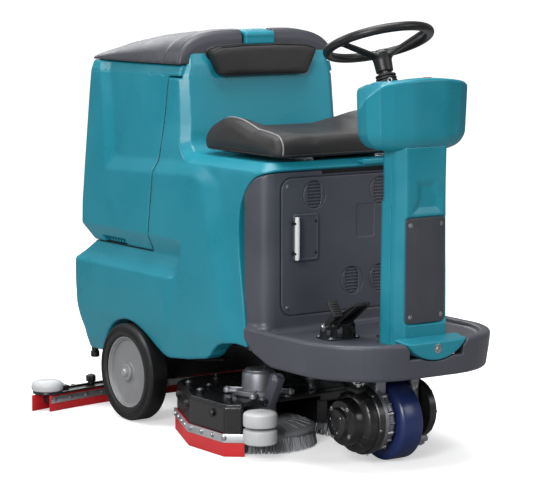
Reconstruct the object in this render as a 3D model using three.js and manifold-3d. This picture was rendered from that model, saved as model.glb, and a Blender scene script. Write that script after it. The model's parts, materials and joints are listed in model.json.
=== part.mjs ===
// Ride-on floor scrubber: one driven and steered front wheel, two free rear wheels, a scrub head
// with two disc brushes under the middle, and a curved squeegee towed behind.
// Millimetres. +Z is up, the nose points along -Y, and the operator's left hand is at +X.
// Lengthwise positions are measured from the rear axle; `add` then centres the machine on the origin.
import * as THREE from "three";
import { mergeVertices } from "three/addons/utils/BufferGeometryUtils.js";
import Module from "manifold-3d";

const wasm = await Module();
wasm.setup();

// ---------------------------------------------------------------- driving dimensions
const GAP = 0.6; // clearance between a piece and the neighbour it sits on
const REAR_R = 150; // rear tyre radius
const REAR_TYRE_W = 67;
const REAR_OUT = 341; // outer face of a rear tyre, from the centreline
const TYRE_SIDES = 36;
const AXLE_R = 12.5;
const RIM_OUT_R = 110;
const DRIVE_R = 113;
const DRIVE_W = 80;
const DRIVE_Y = -884; // steering axis of the drive wheel
const HUB_R = 78;
const BODY_HALF = 322; // lower body, half width
const UPPER_HALF = 296; // recovery tank and lid, half width
const WING_HALF = 276; // seat back, half width
const LID_Z = 1096; // lower edge of the lid
const LID_TOP = 1194;
const DECK_Z = 838; // deck the seat slides on
const SEAM_Z = 527; // lower edge of the recovery tank
const TILT_Y = 282; // the recovery tank tips back about its lower rear edge
const FLOOR_Z = 352; // platform floor
const PLAT_TOP = 366; // platform rim
const PLAT_LOW = 264;
const PLAT_FRONT = -1103;
const NOSE_R = 230; // front corner radius of the platform
const WALL_Y = -676; // front face of the wall under the seat
const SPINE_Z0 = 246; // underside and top of the frame's centre beam
const SPINE_Z1 = 286;
const BRUSH_R = 172;
const BRUSH_X = 188;
const BRUSH_Y = -503;
const HEAD_LOW = 50; // scrub head housing, bottom and top
const HEAD_TOP = 148;
const SKIRT_X = 380;
const CLIPPED_Y = -545; // front end of the left skirt
const ROLLER_R = 49;
const ROLLER_X = 312;
const ROLLER_Y = -690;
const ROLLER_Z = 46; // underside of the lower bumper wheel
const ROLLER_H = 44;
const SWING_Y = 95; // the squeegee arm swings about a pin here
const LIFT_Y = 145; // and the squeegee rises about a cross pin here
const LIFT_Z = 118;
const SQ_HALF = 508; // squeegee half width
const SQ_MID_Y = 345;
const SQ_R = 2146; // radius of the squeegee's curve, seen from above
const SQ_ROLLER_X = 450;
const COLUMN_TOP = 884;
const WHEEL_TILT = 20; // degrees the steering wheel leans back
const WHEEL_Y = -822;
const WHEEL_Z = 1176;
const WHEEL_R = 146; // centre line of the steering wheel's rim
const RIM_R = 12.5;
const PEDAL_PIN = [-830, FLOOR_Z + 34];
const REAR_END = SQ_MID_Y + 4;
const CENTRE_SHIFT = -(PLAT_FRONT + REAR_END) / 2;

// ---------------------------------------------------------------- materials
const finish = (color, roughness, metalness = 0) =>
  new THREE.MeshStandardMaterial({ color, roughness, metalness });
const teal = finish(0x2b8492, 0.42);
const grey = finish(0x4b4d54, 0.55);
const black = finish(0x1b1b1d, 0.5);
const vinyl = finish(0x2c2a2a, 0.6);
const red = finish(0xc9262b, 0.5);
const steel = finish(0xb9bcc0, 0.35, 0.9);
const casting = finish(0x9b9da2, 0.5, 0.7);
const blue = finish(0x27406f, 0.45);
const rubber = finish(0x151515, 0.8);
const rimGrey = finish(0x85878b, 0.5, 0.3);
const paleGrey = finish(0xc8cacc, 0.45);
const bristle = finish(0x7c7f83, 0.8);

// ---------------------------------------------------------------- solids
// A closed geometry as a solid that can be joined and cut.
function solid(geometry) {
  const bare = geometry.index ? geometry.toNonIndexed() : geometry.clone();
  bare.deleteAttribute("normal");
  bare.deleteAttribute("uv");
  const merged = mergeVertices(bare, 1e-3);
  return new wasm.Manifold(
    new wasm.Mesh({
      numProp: 3,
      vertProperties: merged.attributes.position.array,
      triVerts: new Uint32Array(merged.index.array),
    }),
  );
}

function geometryOf(made) {
  const mesh = made.getMesh();
  const position = new Float32Array(mesh.numVert * 3);
  for (let i = 0; i < mesh.numVert; i++) {
    const at = i * mesh.numProp;
    position.set(mesh.vertProperties.subarray(at, at + 3), i * 3);
  }
  const geometry = new THREE.BufferGeometry();
  geometry.setAttribute("position", new THREE.BufferAttribute(position, 3));
  geometry.setIndex(new THREE.BufferAttribute(mesh.triVerts, 1));
  return geometry;
}

const join = (first, ...more) => more.reduce((all, next) => all.add(next), first);
const cut = (first, ...more) => more.reduce((all, next) => all.subtract(next), first);

function box(x0, x1, y0, y1, z0, z1) {
  const g = new THREE.BoxGeometry(x1 - x0, y1 - y0, z1 - z0);
  return solid(g.translate((x0 + x1) / 2, (y0 + y1) / 2, (z0 + z1) / 2));
}

// A round bar between two points, r1 at the first and r2 at the second.
function bar(from, to, r1, r2 = r1, sides = 16) {
  const a = new THREE.Vector3(...from);
  const b = new THREE.Vector3(...to);
  const along = b.clone().sub(a);
  const g = new THREE.CylinderGeometry(r2, r1, along.length(), sides);
  const up = new THREE.Vector3(0, 1, 0);
  const turn = new THREE.Quaternion().setFromUnitVectors(up, along.clone().normalize());
  return solid(g.applyQuaternion(turn).translate(...a.add(b).multiplyScalar(0.5)));
}

// A profile of [radius, height] turned round the Z axis, with flats square to X and Y.
function turned(profile, sides = 28) {
  const points = profile.map(([r, h]) => new THREE.Vector2(r, h));
  const g = new THREE.LatheGeometry(points, sides).rotateX(Math.PI / 2);
  const made = solid(g.rotateZ(Math.PI / sides));
  return made.volume() > 0 ? made : solid(flipped(g));
}

function flipped(geometry) {
  const index = geometry.index.array;
  for (let i = 0; i < index.length; i += 3) {
    [index[i], index[i + 1]] = [index[i + 1], index[i]];
  }
  return geometry;
}

// Outlines are lists of points in a plane; each helper pushes one along the remaining axis.
function extruded(outline, depth) {
  const shape = new THREE.Shape(outline.map(([a, b]) => new THREE.Vector2(a, b)));
  return new THREE.ExtrudeGeometry(shape, { depth, bevelEnabled: false });
}
function alongX(yzOutline, x0, x1) {
  const turn = new THREE.Matrix4().set(0, 0, 1, x0, 1, 0, 0, 0, 0, 1, 0, 0, 0, 0, 0, 1);
  return solid(extruded(yzOutline, x1 - x0).applyMatrix4(turn));
}
function alongY(xzOutline, y0, y1) {
  const turn = new THREE.Matrix4().set(1, 0, 0, 0, 0, 0, -1, y1, 0, 1, 0, 0, 0, 0, 0, 1);
  return solid(extruded(xzOutline, y1 - y0).applyMatrix4(turn));
}
const alongZ = (xyOutline, z0, z1) => solid(extruded(xyOutline, z1 - z0).translate(0, 0, z0));

// Points of an arc, from angle a0 to a1 in degrees.
const arc = (cx, cy, r, a0, a1, n = 6) =>
  Array.from({ length: n + 1 }, (_, i) => {
    const a = ((a0 + ((a1 - a0) * i) / n) * Math.PI) / 180;
    return [cx + r * Math.cos(a), cy + r * Math.sin(a)];
  });

const roundRect = (x0, x1, y0, y1, r, n = 3) => [
  ...arc(x1 - r, y1 - r, r, 0, 90, n),
  ...arc(x0 + r, y1 - r, r, 90, 180, n),
  ...arc(x0 + r, y0 + r, r, 180, 270, n),
  ...arc(x1 - r, y0 + r, r, 270, 360, n),
];

// A half outline on the +X side closed by its mirror image.
const mirrored = (half) => [...half, ...half.map(([x, v]) => [-x, v]).reverse()];

// A solid through rings of 3-D points; every ring has the same count and the end rings are filled.
function loft(rings) {
  const count = rings[0].length;
  const index = [];
  for (let s = 0; s + 1 < rings.length; s++) {
    for (let i = 0; i < count; i++) {
      const a = s * count + i;
      const b = s * count + ((i + 1) % count);
      index.push(a, b, a + count, b, b + count, a + count);
    }
  }
  const spread = (k) => Math.max(...rings[0].map((p) => p[k])) - Math.min(...rings[0].map((p) => p[k]));
  const second = spread(1) > spread(2) ? 1 : 2;
  const flat = rings[0].map((p) => new THREE.Vector2(p[0], p[second]));
  const clockwise = THREE.ShapeUtils.isClockWise(flat);
  const caps = THREE.ShapeUtils.triangulateShape(clockwise ? [...flat].reverse() : flat, []);
  const at = (i) => (clockwise ? count - 1 - i : i);
  const last = (rings.length - 1) * count;
  for (const cap of caps) {
    const [a, b, c] = cap.map(at);
    const [p, q, r] = clockwise ? [c, b, a] : [a, b, c];
    index.push(r, q, p, last + p, last + q, last + r);
  }
  const g = new THREE.BufferGeometry();
  g.setAttribute("position", new THREE.Float32BufferAttribute(rings.flat(2), 3));
  g.setIndex(index);
  const made = solid(g);
  return made.volume() > 0 ? made : solid(flipped(g));
}

// Plan outlines stacked at rising heights.
const stack = (levels) => loft(levels.map(({ plan, z }) => plan.map(([x, y]) => [x, y, z])));

const bothSides = [
  ["right", -1],
  ["left", 1],
];
// Something built for the right-hand side, or its mirror image for the left.
const onSide = (made, s) => (s < 0 ? made : made.mirror([1, 0, 0]));

const machine = new THREE.Group();
function add(name, made, material) {
  const mesh = new THREE.Mesh(geometryOf(made.translate([0, CENTRE_SHIFT, 0])), material);
  mesh.name = name;
  machine.add(mesh);
}

// ---------------------------------------------------------------- rear wheels and axle
// A wheel piece turned about Z, laid on its side with its outer face outwards.
const REAR_Z = REAR_R * Math.cos(Math.PI / TYRE_SIDES); // a tyre flat rests on the floor
function onRearAxle(made, s) {
  return onSide(made.rotate([0, -90, 0]).translate([-(REAR_OUT - REAR_TYRE_W), 0, REAR_Z]), s);
}
const rearTyre = turned(
  [
    [RIM_OUT_R, 3],
    [REAR_R - 14, 0],
    [REAR_R, 12],
    [REAR_R, REAR_TYRE_W - 12],
    [REAR_R - 14, REAR_TYRE_W],
    [RIM_OUT_R, REAR_TYRE_W - 3],
    [RIM_OUT_R, 3],
  ],
  TYRE_SIDES,
);
const rearRim = cut(
  turned(
    [
      [0, 4],
      [40, 4],
      [44, 28],
      [RIM_OUT_R - 14, 32],
      [RIM_OUT_R - GAP, 8],
      [RIM_OUT_R - GAP, REAR_TYRE_W - 5],
      [RIM_OUT_R - 8, REAR_TYRE_W - 12],
      [32, REAR_TYRE_W - 12],
      [26, REAR_TYRE_W + 2],
      [0, REAR_TYRE_W + 6],
    ],
    TYRE_SIDES,
  ),
  bar([0, 0, 0], [0, 0, 44], AXLE_R + 1),
);
for (const [side, s] of bothSides) {
  add(`rear_tyre_${side}`, onRearAxle(rearTyre, s), rubber);
  add(`rear_rim_${side}`, onRearAxle(rearRim, s), rimGrey);
}
add("rear_axle", bar([-312, 0, REAR_Z], [312, 0, REAR_Z], AXLE_R), steel);

// ---------------------------------------------------------------- frame
function chassisFrame() {
  const axleBeam = box(-258, 258, -28, 28, 120, SPINE_Z1);
  const spine = box(-35, 35, -735, 28, SPINE_Z0, SPINE_Z1);
  const headPlate = box(-110, 110, -990, -700, SPINE_Z1 - 14, SPINE_Z1);
  const railTop = FLOOR_Z - 14 - GAP;
  const rails = [-1, 1].map((s) => box(s * 96 - 14, s * 96 + 14, -990, -700, SPINE_Z1 - 2, railTop));
  const tail = box(-30, 30, 20, SWING_Y + 32, 172, 200);
  const rearRail = box(-40, 40, 20, 168, 222, SPINE_Z1);
  const rearBeam = box(-250, 250, 130, 170, 222, SPINE_Z1);
  const made = join(axleBeam, spine, headPlate, ...rails, tail, rearRail, rearBeam);
  return cut(
    made,
    bar([-300, 0, REAR_Z], [300, 0, REAR_Z], AXLE_R + 0.5),
    bar([0, SWING_Y, 160], [0, SWING_Y, 210], 8.5),
    bar([0, DRIVE_Y, 240], [0, DRIVE_Y, 300], 30.6),
  );
}
add("chassis_frame", chassisFrame(), black);

// ---------------------------------------------------------------- drive and steering unit
const DRIVE_Z = DRIVE_R * Math.cos(Math.PI / TYRE_SIDES);
const MOTOR_Z = 122; // the motor sits a little above the wheel's centre
const GEAR_X = DRIVE_W / 2 + 4; // inner face of the gearbox
const MOTOR_X = GEAR_X + 42 + GAP; // inner face of the motor cover
// A piece turned about Z, laid along X from x outwards on one side.
const sideways = (profile, x, z, s, sides = 28) =>
  onSide(turned(profile, sides).rotate([0, -90, 0]).translate([-x, DRIVE_Y, z]), s);
const ring = (inner, outer, width, edge) => [
  [inner, 0],
  [outer - edge / 2, 0],
  [outer, edge],
  [outer, width - edge],
  [outer - edge / 2, width],
  [inner, width],
  [inner, 0],
];
add("drive_tyre", sideways(ring(HUB_R, DRIVE_R, DRIVE_W, 9), -DRIVE_W / 2, DRIVE_Z, -1, TYRE_SIDES), blue);
add("drive_hub", sideways(ring(16, HUB_R - GAP, DRIVE_W - 14, 3), 7 - DRIVE_W / 2, DRIVE_Z, -1), casting);
function gearbox() {
  const wide = [
    [0, 0],
    [86, 0],
    [92, 10],
    [92, 42],
    [0, 42],
  ];
  return join(
    sideways(wide, GEAR_X, MOTOR_Z, -1),
    box(-82, -46, DRIVE_Y - 45, DRIVE_Y + 45, 180, 240),
    box(-82, 80, DRIVE_Y - 45, DRIVE_Y + 45, 232, 246),
    box(46, 80, DRIVE_Y - 38, DRIVE_Y + 38, 60, 240),
    bar([-60, DRIVE_Y, DRIVE_Z], [60, DRIVE_Y, DRIVE_Z], 15),
  );
}
add("drive_gearbox", gearbox(), casting);
const motorSteps = [
  [0, 0],
  [98, 0],
  [98, 22],
  [90, 44],
  [66, 54],
  [60, 86],
  [40, 104],
  [0, 104],
];
add("drive_motor_cover", sideways(motorSteps, MOTOR_X, MOTOR_Z, -1), black);
const brakeSteps = [
  [0, 0],
  [84, 0],
  [84, 24],
  [66, 34],
  [60, 46],
  [0, 46],
];
add("drive_brake", sideways(brakeSteps, 80 + GAP, 136, 1), black);
function steeringFork() {
  const plate = turned([
    [0, 246 + GAP],
    [86, 246 + GAP],
    [86, 260],
    [62, 262],
    [62, SPINE_Z1 - 14 - GAP],
    [0, SPINE_Z1 - 14 - GAP],
  ]);
  return join(plate, bar([0, 0, 262], [0, 0, 326], 30)).translate([0, DRIVE_Y, 0]);
}
add("steering_fork", steeringFork(), steel);

// ---------------------------------------------------------------- scrub head
// Line of the right-hand skirt seen from above, from its rear end to its front end.
function skirtLine(inset) {
  return [
    [-284 + inset, -198 - inset * 0.4],
    [-SKIRT_X + inset, -421],
    [-SKIRT_X + inset, -605 + inset * 0.6],
    [-334 + inset, -642 + inset],
  ];
}
// The left-hand skirt, drawn on the right, stops short of the head's clipped corner.
function shortSkirtLine(inset) {
  return [
    [-284 + inset, -198 - inset * 0.4],
    [-SKIRT_X + inset, -421],
    [-SKIRT_X + inset, CLIPPED_Y],
  ];
}
const strip = (outer, inner, z0, z1) => alongZ([...outer, ...inner.reverse()], z0, z1);
for (const [side, s] of bothSides) {
  const line = s < 0 ? skirtLine : shortSkirtLine;
  add(`skirt_${side}`, onSide(strip(line(0), line(4), 1, 66), s), red);
  add(`skirt_band_${side}`, onSide(strip(line(-3), line(-GAP), 42, 67), s), steel);
}
function deckHousing() {
  const half = [
    [200, -168],
    ...skirtLine(4 + GAP).map(([x, y]) => [-x, y]),
    [318, -612],
    [226, -592],
    [120, -592],
    [90, -560],
  ];
  const shell = alongZ(mirrored(half), HEAD_LOW, HEAD_TOP - 3);
  const rooms = [-1, 1].map((s) =>
    bar([s * BRUSH_X, BRUSH_Y, 0], [s * BRUSH_X, BRUSH_Y, HEAD_TOP - 11], BRUSH_R + 8, BRUSH_R + 8, 36),
  );
  const plate = box(-250, 250, -600, -300, HEAD_TOP - 11, HEAD_TOP);
  const actuatorRod = bar([62, -420, HEAD_TOP - 4], [62, -420, 226], 9);
  const arms = [-1, 1].map((s) => {
    const outline = [
      [-596, 120],
      [-560, 120],
      [-608, 224],
      [-646, 224],
    ];
    return alongX(outline, s * 209 - 12, s * 209 + 12);
  });
  const shelfZ = ROLLER_Z + ROLLER_H + 1;
  const shelf = box(-ROLLER_X - 16, -ROLLER_X + 16, ROLLER_Y - 18, -606, shelfZ, shelfZ + 3);
  const pinHole = bar([-ROLLER_X, ROLLER_Y, 80], [-ROLLER_X, ROLLER_Y, 110], 7);
  // The front left corner is clipped: the bumper wheels stand at the right corner only.
  const clipped = [
    [SKIRT_X + 40, CLIPPED_Y - 1],
    [SKIRT_X - 4 - GAP, CLIPPED_Y - 1],
    [330, -592],
    [226, -592],
    [226, -700],
    [SKIRT_X + 40, -700],
  ];
  const corner = alongZ(clipped, HEAD_LOW - 8, HEAD_TOP + 4);
  return cut(join(cut(shell, ...rooms), plate, actuatorRod, ...arms, shelf), pinHole, corner);
}
add("deck_housing", deckHousing(), black);

// Two bumper wheels on one spindle, which turns in the head's shelf between them.
function deckRoller() {
  const wheel = turned(
    [
      [0, 0],
      [ROLLER_R - 5, 0],
      [ROLLER_R, 6],
      [ROLLER_R, ROLLER_H - 5],
      [ROLLER_R - 5, ROLLER_H],
      [0, ROLLER_H],
    ],
    22,
  );
  const upper = wheel.translate([0, 0, ROLLER_H + 5]);
  return join(wheel, upper, bar([0, 0, 20], [0, 0, 2 * ROLLER_H], 6, 6, 14));
}
add("deck_roller_right", deckRoller().translate([-ROLLER_X, ROLLER_Y, ROLLER_Z]), paleGrey);

const brushProfile = [
  [0, 40],
  [96, 40],
  [100, 4],
  [BRUSH_R - 4, 2],
  [BRUSH_R, 10],
  [BRUSH_R - 4, 46],
  [BRUSH_R - 6, 58],
  [120, 76],
  [60, 84],
  [52, 128],
  [0, 128],
];
for (const [side, s] of bothSides) {
  const brush = turned(brushProfile, 32).translate([-BRUSH_X, BRUSH_Y, 0]);
  add(`brush_${side}`, onSide(brush, s), bristle);
  const motor = turned([
    [0, HEAD_TOP + GAP],
    [66, HEAD_TOP + GAP],
    [66, HEAD_TOP + 12],
    [50, HEAD_TOP + 14],
    [50, 214],
    [42, 222],
    [0, 222],
  ]).translate([-BRUSH_X, BRUSH_Y, 0]);
  add(`brush_motor_${side}`, onSide(motor, s), casting);
}
function deckActuator() {
  const body = join(bar([62, -420, 212], [62, -420, SPINE_Z1], 20), box(35 + GAP, 62, -432, -408, 252, 280));
  return cut(body, bar([62, -420, 200], [62, -420, 281], 10.5));
}
add("deck_actuator", deckActuator(), black);

// ---------------------------------------------------------------- squeegee
function sqLine(y, half) {
  const steps = 14;
  return Array.from({ length: steps + 1 }, (_, i) => {
    const x = -half + (2 * half * i) / steps;
    return [x, y - SQ_R + Math.sqrt(SQ_R * SQ_R - x * x)];
  });
}
const sqStrip = (y, thick, half, z0, z1) =>
  alongZ([...sqLine(y - thick, half), ...sqLine(y, half).reverse()], z0, z1);
const SQ_FRAME_Y = SQ_MID_Y - 5 - GAP; // rear face of the frame's core
const SQ_CORE = 43;
add("squeegee_blade_rear", sqStrip(SQ_MID_Y, 5, SQ_HALF, 1, 51), red);
add("squeegee_blade_front", sqStrip(SQ_FRAME_Y - SQ_CORE - GAP, 5, SQ_HALF - 40, 1, 51), red);
const NOZZLE_Y = 318;
function squeegeeFrame() {
  const core = sqStrip(SQ_FRAME_Y, SQ_CORE, SQ_HALF - 44, 22, 58);
  const top = sqStrip(REAR_END, 66, SQ_HALF - 44, 52, 60);
  const ends = [-1, 1].map((s) => bar([s * SQ_ROLLER_X, 288, 52], [s * SQ_ROLLER_X, 288, 60], 46, 46, 24));
  const spindles = [-1, 1].map((s) => bar([s * SQ_ROLLER_X, 288, 55], [s * SQ_ROLLER_X, 288, 84], 7, 7, 14));
  const studs = [-1, 1].map((s) => bar([s * 284, 300, 58], [s * 284, 300, 72], 6, 6, 12));
  const riser = box(-34, 34, 290, 340, 58, 76);
  const nozzle = bar([0, NOZZLE_Y, 60], [0, NOZZLE_Y, 98], 20);
  const lugLine = [
    [296, 56],
    [296, 74],
    ...arc(LIFT_Y, LIFT_Z, 16, 50, 240, 6),
    [240, 56],
  ];
  const lug = alongX(lugLine, -14, 14);
  const made = join(core, top, ...ends, ...spindles, ...studs, riser, nozzle, lug);
  const pinHole = bar([-30, LIFT_Y, LIFT_Z], [30, LIFT_Y, LIFT_Z], 6.6);
  return cut(made, pinHole, bar([0, NOZZLE_Y, 10], [0, NOZZLE_Y, 110], 15));
}
add("squeegee_frame", squeegeeFrame(), black);
for (const [side, s] of bothSides) {
  const grip = [
    [0, 0],
    [10, 0],
    [10, 8],
    [16, 10],
    [16, 28],
    [12, 33],
    [0, 33],
  ];
  const knob = cut(turned(grip, 18), bar([0, 0, -5], [0, 0, 15], 6.5, 6.5, 12));
  add(`squeegee_knob_${side}`, knob.translate([s * 284, 300, 60 + GAP]), black);
  const wheel = [
    [0, 0],
    [46, 0],
    [50, 5],
    [50, 22],
    [42, 30],
    [0, 34],
  ];
  const roller = cut(turned(wheel, 24), bar([0, 0, -5], [0, 0, 25], 8, 8, 14));
  add(`squeegee_roller_${side}`, roller.translate([s * SQ_ROLLER_X, 288, 60 + GAP]), paleGrey);
}
function towArm() {
  const eye = bar([0, SWING_Y, 150], [0, SWING_Y, 171], 24, 24, 24);
  const pin = bar([0, SWING_Y, 150], [0, SWING_Y, 208], 8, 8, 16);
  const plate = box(-24, 24, SWING_Y, LIFT_Y - 22, 150, 164);
  const web = box(-24, 24, LIFT_Y - 44, LIFT_Y - 26, 140, 164);
  const earLine = [
    [LIFT_Y - 44, 164],
    [LIFT_Y - 44, 130],
    ...arc(LIFT_Y, LIFT_Z, 17, 225, 405, 6),
    [LIFT_Y - 18, 164],
  ];
  const ears = [-1, 1].map((s) => alongX(earLine, s * 19.5 - 4.5, s * 19.5 + 4.5));
  const crossPin = bar([-20, LIFT_Y, LIFT_Z], [20, LIFT_Y, LIFT_Z], 6, 6, 14);
  return join(eye, pin, plate, web, ...ears, crossPin);
}
add("squeegee_tow_arm", towArm(), steel);
function vacuumHose() {
  const stations = [
    [0, NOZZLE_Y, 142],
    [0, 324, 230],
    [16, 318, 340],
    [30, 290, 440],
  ];
  const path = new THREE.CatmullRomCurve3(stations.map((p) => new THREE.Vector3(...p)));
  const section = new THREE.Shape(
    arc(0, 0, 18, 0, 360, 14)
      .slice(0, -1)
      .map(([a, b]) => new THREE.Vector2(a, b)),
  );
  const settings = { steps: 12, extrudePath: path, bevelEnabled: false };
  return solid(new THREE.ExtrudeGeometry(section, settings));
}
add("vacuum_hose", vacuumHose(), black);

// ---------------------------------------------------------------- body shells
// Front view of the lower body and seat back, as [half width, height].
const bodyFront = mirrored([
  [BODY_HALF - 14, 170],
  [BODY_HALF - 4, 300],
  [BODY_HALF, 400],
  [BODY_HALF - 2, 480],
  [UPPER_HALF + 2, SEAM_Z],
  [UPPER_HALF, 700],
  [UPPER_HALF - 6, 830],
  [WING_HALF, 880],
  [WING_HALF, 1060],
  ...arc(WING_HALF - 74, 1066, 74, 0, 80, 4),
  [90, 1148],
]);
// Side view of the same body, as [y, z].
const bodySide = [
  [-606, 300],
  [-588, 420],
  [-566, 600],
  [-584, 724],
  [-628, 796],
  [-690, 816],
  [-690, DECK_Z],
  [-310, DECK_Z],
  ...arc(-300, DECK_Z + 62, 62, -80, 0, 4),
  [-228, 990],
  [-238, 1100],
  [-222, 1148],
  [-170, 1148],
  [-168, 1056],
  [-90, SEAM_Z],
  [TILT_Y, SEAM_Z],
  [306, 478],
  [300, 400],
  [288, 310],
  [282, 180],
  [185, 180],
  [176, 260],
  [-176, 260],
  [-250, 226],
  [-440, 226],
  [-500, 290],
];
function waterBody() {
  const block = alongX(bodySide, -BODY_HALF, BODY_HALF).intersect(alongY(bodyFront, -700, 340));
  const batteryBay = box(-262, 262, -700, -178, 0, 690);
  const underside = box(-262, 262, -200, 240, 0, SPINE_Z1 + GAP);
  const hoseSlot = box(-70, 110, 235, 400, 0, 470);
  const arches = [-1, 1].map((s) =>
    bar([s * 240, 0, REAR_R], [s * 400, 0, REAR_R], REAR_R + 20, REAR_R + 20, 32),
  );
  const padPocket = box(-205, 205, -300, -228, 1050, 1160);
  const lidSeat = box(-400, 400, -221, -100, 1090, 1200);
  return cut(block, batteryBay, underside, hoseSlot, ...arches, padPocket, lidSeat);
}
add("solution_tank", waterBody(), teal);

const recoverySide = [
  [-86, SEAM_Z + 4],
  [-164, 1058],
  [-164, LID_Z - 1],
  [246, LID_Z - 1],
  [294, 640],
  [TILT_Y, SEAM_Z + 4],
];
function dirtyBody() {
  const block = alongX(recoverySide, -UPPER_HALF, UPPER_HALF);
  const basin = box(-250, 60, -110, 200, 620, 1200);
  const motorPocket = bar([165, 60, 900], [165, 60, 1200], 82, 82, 24);
  return cut(block, basin, motorPocket);
}
add("recovery_tank", dirtyBody(), teal);
function vacuumMotor() {
  const fan = bar([165, 60, 900 + GAP], [165, 60, 1000], 70, 70, 24);
  return join(fan, bar([165, 60, 1000], [165, 60, 1060], 48, 48, 24));
}
add("vacuum_motor", vacuumMotor(), black);

// The lid is a crowned cover; each cross-section is the same arch, lower towards the rear.
function lidArch(y, top, half) {
  const outer = [
    [half, LID_Z + GAP],
    [half - 3, LID_Z + 14],
    [half - 40, top - 34],
    [half - 110, top - 10],
    [60, top],
  ];
  const inner = [
    [40, top - 20],
    [half - 116, top - 30],
    [half - 54, top - 52],
    [half - 18, LID_Z + GAP],
  ];
  const over = mirrored(outer);
  const under = inner.map(([x, z]) => [-x, z]).reverse();
  return [...over, ...under, ...inner].map(([x, z]) => [x, y, z]);
}
function tankLid() {
  const cover = loft([
    lidArch(-220, LID_TOP - 8, WING_HALF + 8),
    lidArch(-190, LID_TOP, WING_HALF + 14),
    lidArch(-60, LID_TOP - 8, UPPER_HALF + 4),
    lidArch(120, LID_TOP - 26, UPPER_HALF + 4),
    lidArch(262, LID_TOP - 46, UPPER_HALF - 4),
  ]);
  const tailWall = box(-UPPER_HALF + 20, UPPER_HALF - 20, 248, 260, LID_Z + GAP, LID_TOP - 80);
  return cut(join(cover, tailWall), box(-62, 62, -300, -166, 1140, 1250));
}
add("tank_lid", tankLid(), grey);
const latchLine = [
  [-220, 1160],
  [-220, 1180],
  [-196, LID_TOP - 2],
  [-168, LID_TOP - 2],
  [-168, 1176],
  [-196, 1164],
];
add("lid_latch", alongX(latchLine, -60, 60), teal);

// ---------------------------------------------------------------- seat
function backCushion() {
  const half = [
    [152, 1062],
    [190, 1136],
    [150, 1145],
    [60, 1151],
  ];
  const ringAt = (y, k) => mirrored(half).map(([x, z]) => [x * k, y, 1104 + (z - 1104) * k]);
  return loft([ringAt(-228 - GAP, 1), ringAt(-258, 1), ringAt(-268, 0.94)]);
}
add("back_cushion", backCushion(), vinyl);
function seatCushion() {
  const half = 246;
  const side = [
    [-692, 851],
    [-690, 864],
    [-640, 912],
    [-560, 926],
    [-420, 948],
    [-360, 930],
    [-306, 880],
    [-304, 858],
    [-330, 851],
  ];
  const block = alongX(side, -half, half);
  const corners = alongZ(roundRect(-half, half, -692, -304, 44), 800, 1000);
  const dish = alongY(
    mirrored([
      [196, 1000],
      [176, 926],
      [120, 908],
    ]),
    -800,
    -200,
  );
  return cut(block.intersect(corners), dish);
}
add("seat_cushion", seatCushion(), vinyl);
const RAIL_Z0 = DECK_Z + GAP;
const RAIL_Z1 = 851 - GAP;
add(
  "seat_slide",
  join(
    box(-140, -112, -660, -340, RAIL_Z0, RAIL_Z1),
    box(112, 140, -660, -340, RAIL_Z0, RAIL_Z1),
    box(-140, 140, -540, -500, RAIL_Z0, RAIL_Z1),
  ),
  steel,
);
add(
  "seat_lever",
  join(
    bar([160, -640, 845], [160, -706, 845], 4, 4, 10),
    bar([160, -703, 845], [212, -750, 843], 4, 4, 10),
    bar([205, -744, 843], [240, -774, 841], 8, 8, 12),
  ),
  black,
);

// ---------------------------------------------------------------- platform and the wall under the seat
// Plan outline of the step-through platform, drawn in from its edge.
function platformPlan(inset) {
  const half = 306 - inset;
  const r = NOSE_R - inset;
  const front = PLAT_FRONT + inset;
  return [
    [312 - inset, -610],
    [half, -860],
    ...arc(half - r, front + r, r, 0, -90, 7).slice(1),
    ...arc(r - half, front + r, r, -90, -180, 7).slice(0, -1),
    [-half, -860],
    [inset - 312, -610],
  ];
}
const wallTop = [
  [-608, 300],
  [-590, 420],
  [-568, 600],
  [-586, 724],
  [-630, 795],
  [-676, 812],
  [-700, 812],
  [-700, 300],
].map(([y, z]) => [y - 2, z]);
function platformShroud() {
  const outer = stack([
    { plan: platformPlan(16), z: PLAT_LOW },
    { plan: platformPlan(2), z: 314 },
    { plan: platformPlan(0), z: 350 },
    { plan: platformPlan(9), z: PLAT_TOP },
  ]);
  const tub = alongZ(platformPlan(28), FLOOR_Z, 420);
  const under = alongZ(platformPlan(26), 200, FLOOR_Z - 14);
  const wallPlan = [
    [296, -601],
    ...arc(254, -634, 42, 0, -90, 4),
    ...arc(-254, -634, 42, -90, -180, 4),
    [-296, -601],
    [-258, -601],
    [-258, -650],
    [258, -650],
    [258, -601],
  ];
  const wall = alongZ(wallPlan, 300, 812).intersect(alongX(wallTop, -310, 310));
  const columnFoot = box(-93, 93, -1200, -934, FLOOR_Z - 30, 420);
  const apronSeat = alongY(arc(0, 400, 121, 180, 360, 12), -1200, -1040);
  const shaftWay = bar([0, DRIVE_Y, 300], [0, DRIVE_Y, 420], 40);
  return cut(join(cut(outer, tub, under), wall), columnFoot, apronSeat, shaftWay);
}
add("platform_shroud", platformShroud(), grey);

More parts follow.
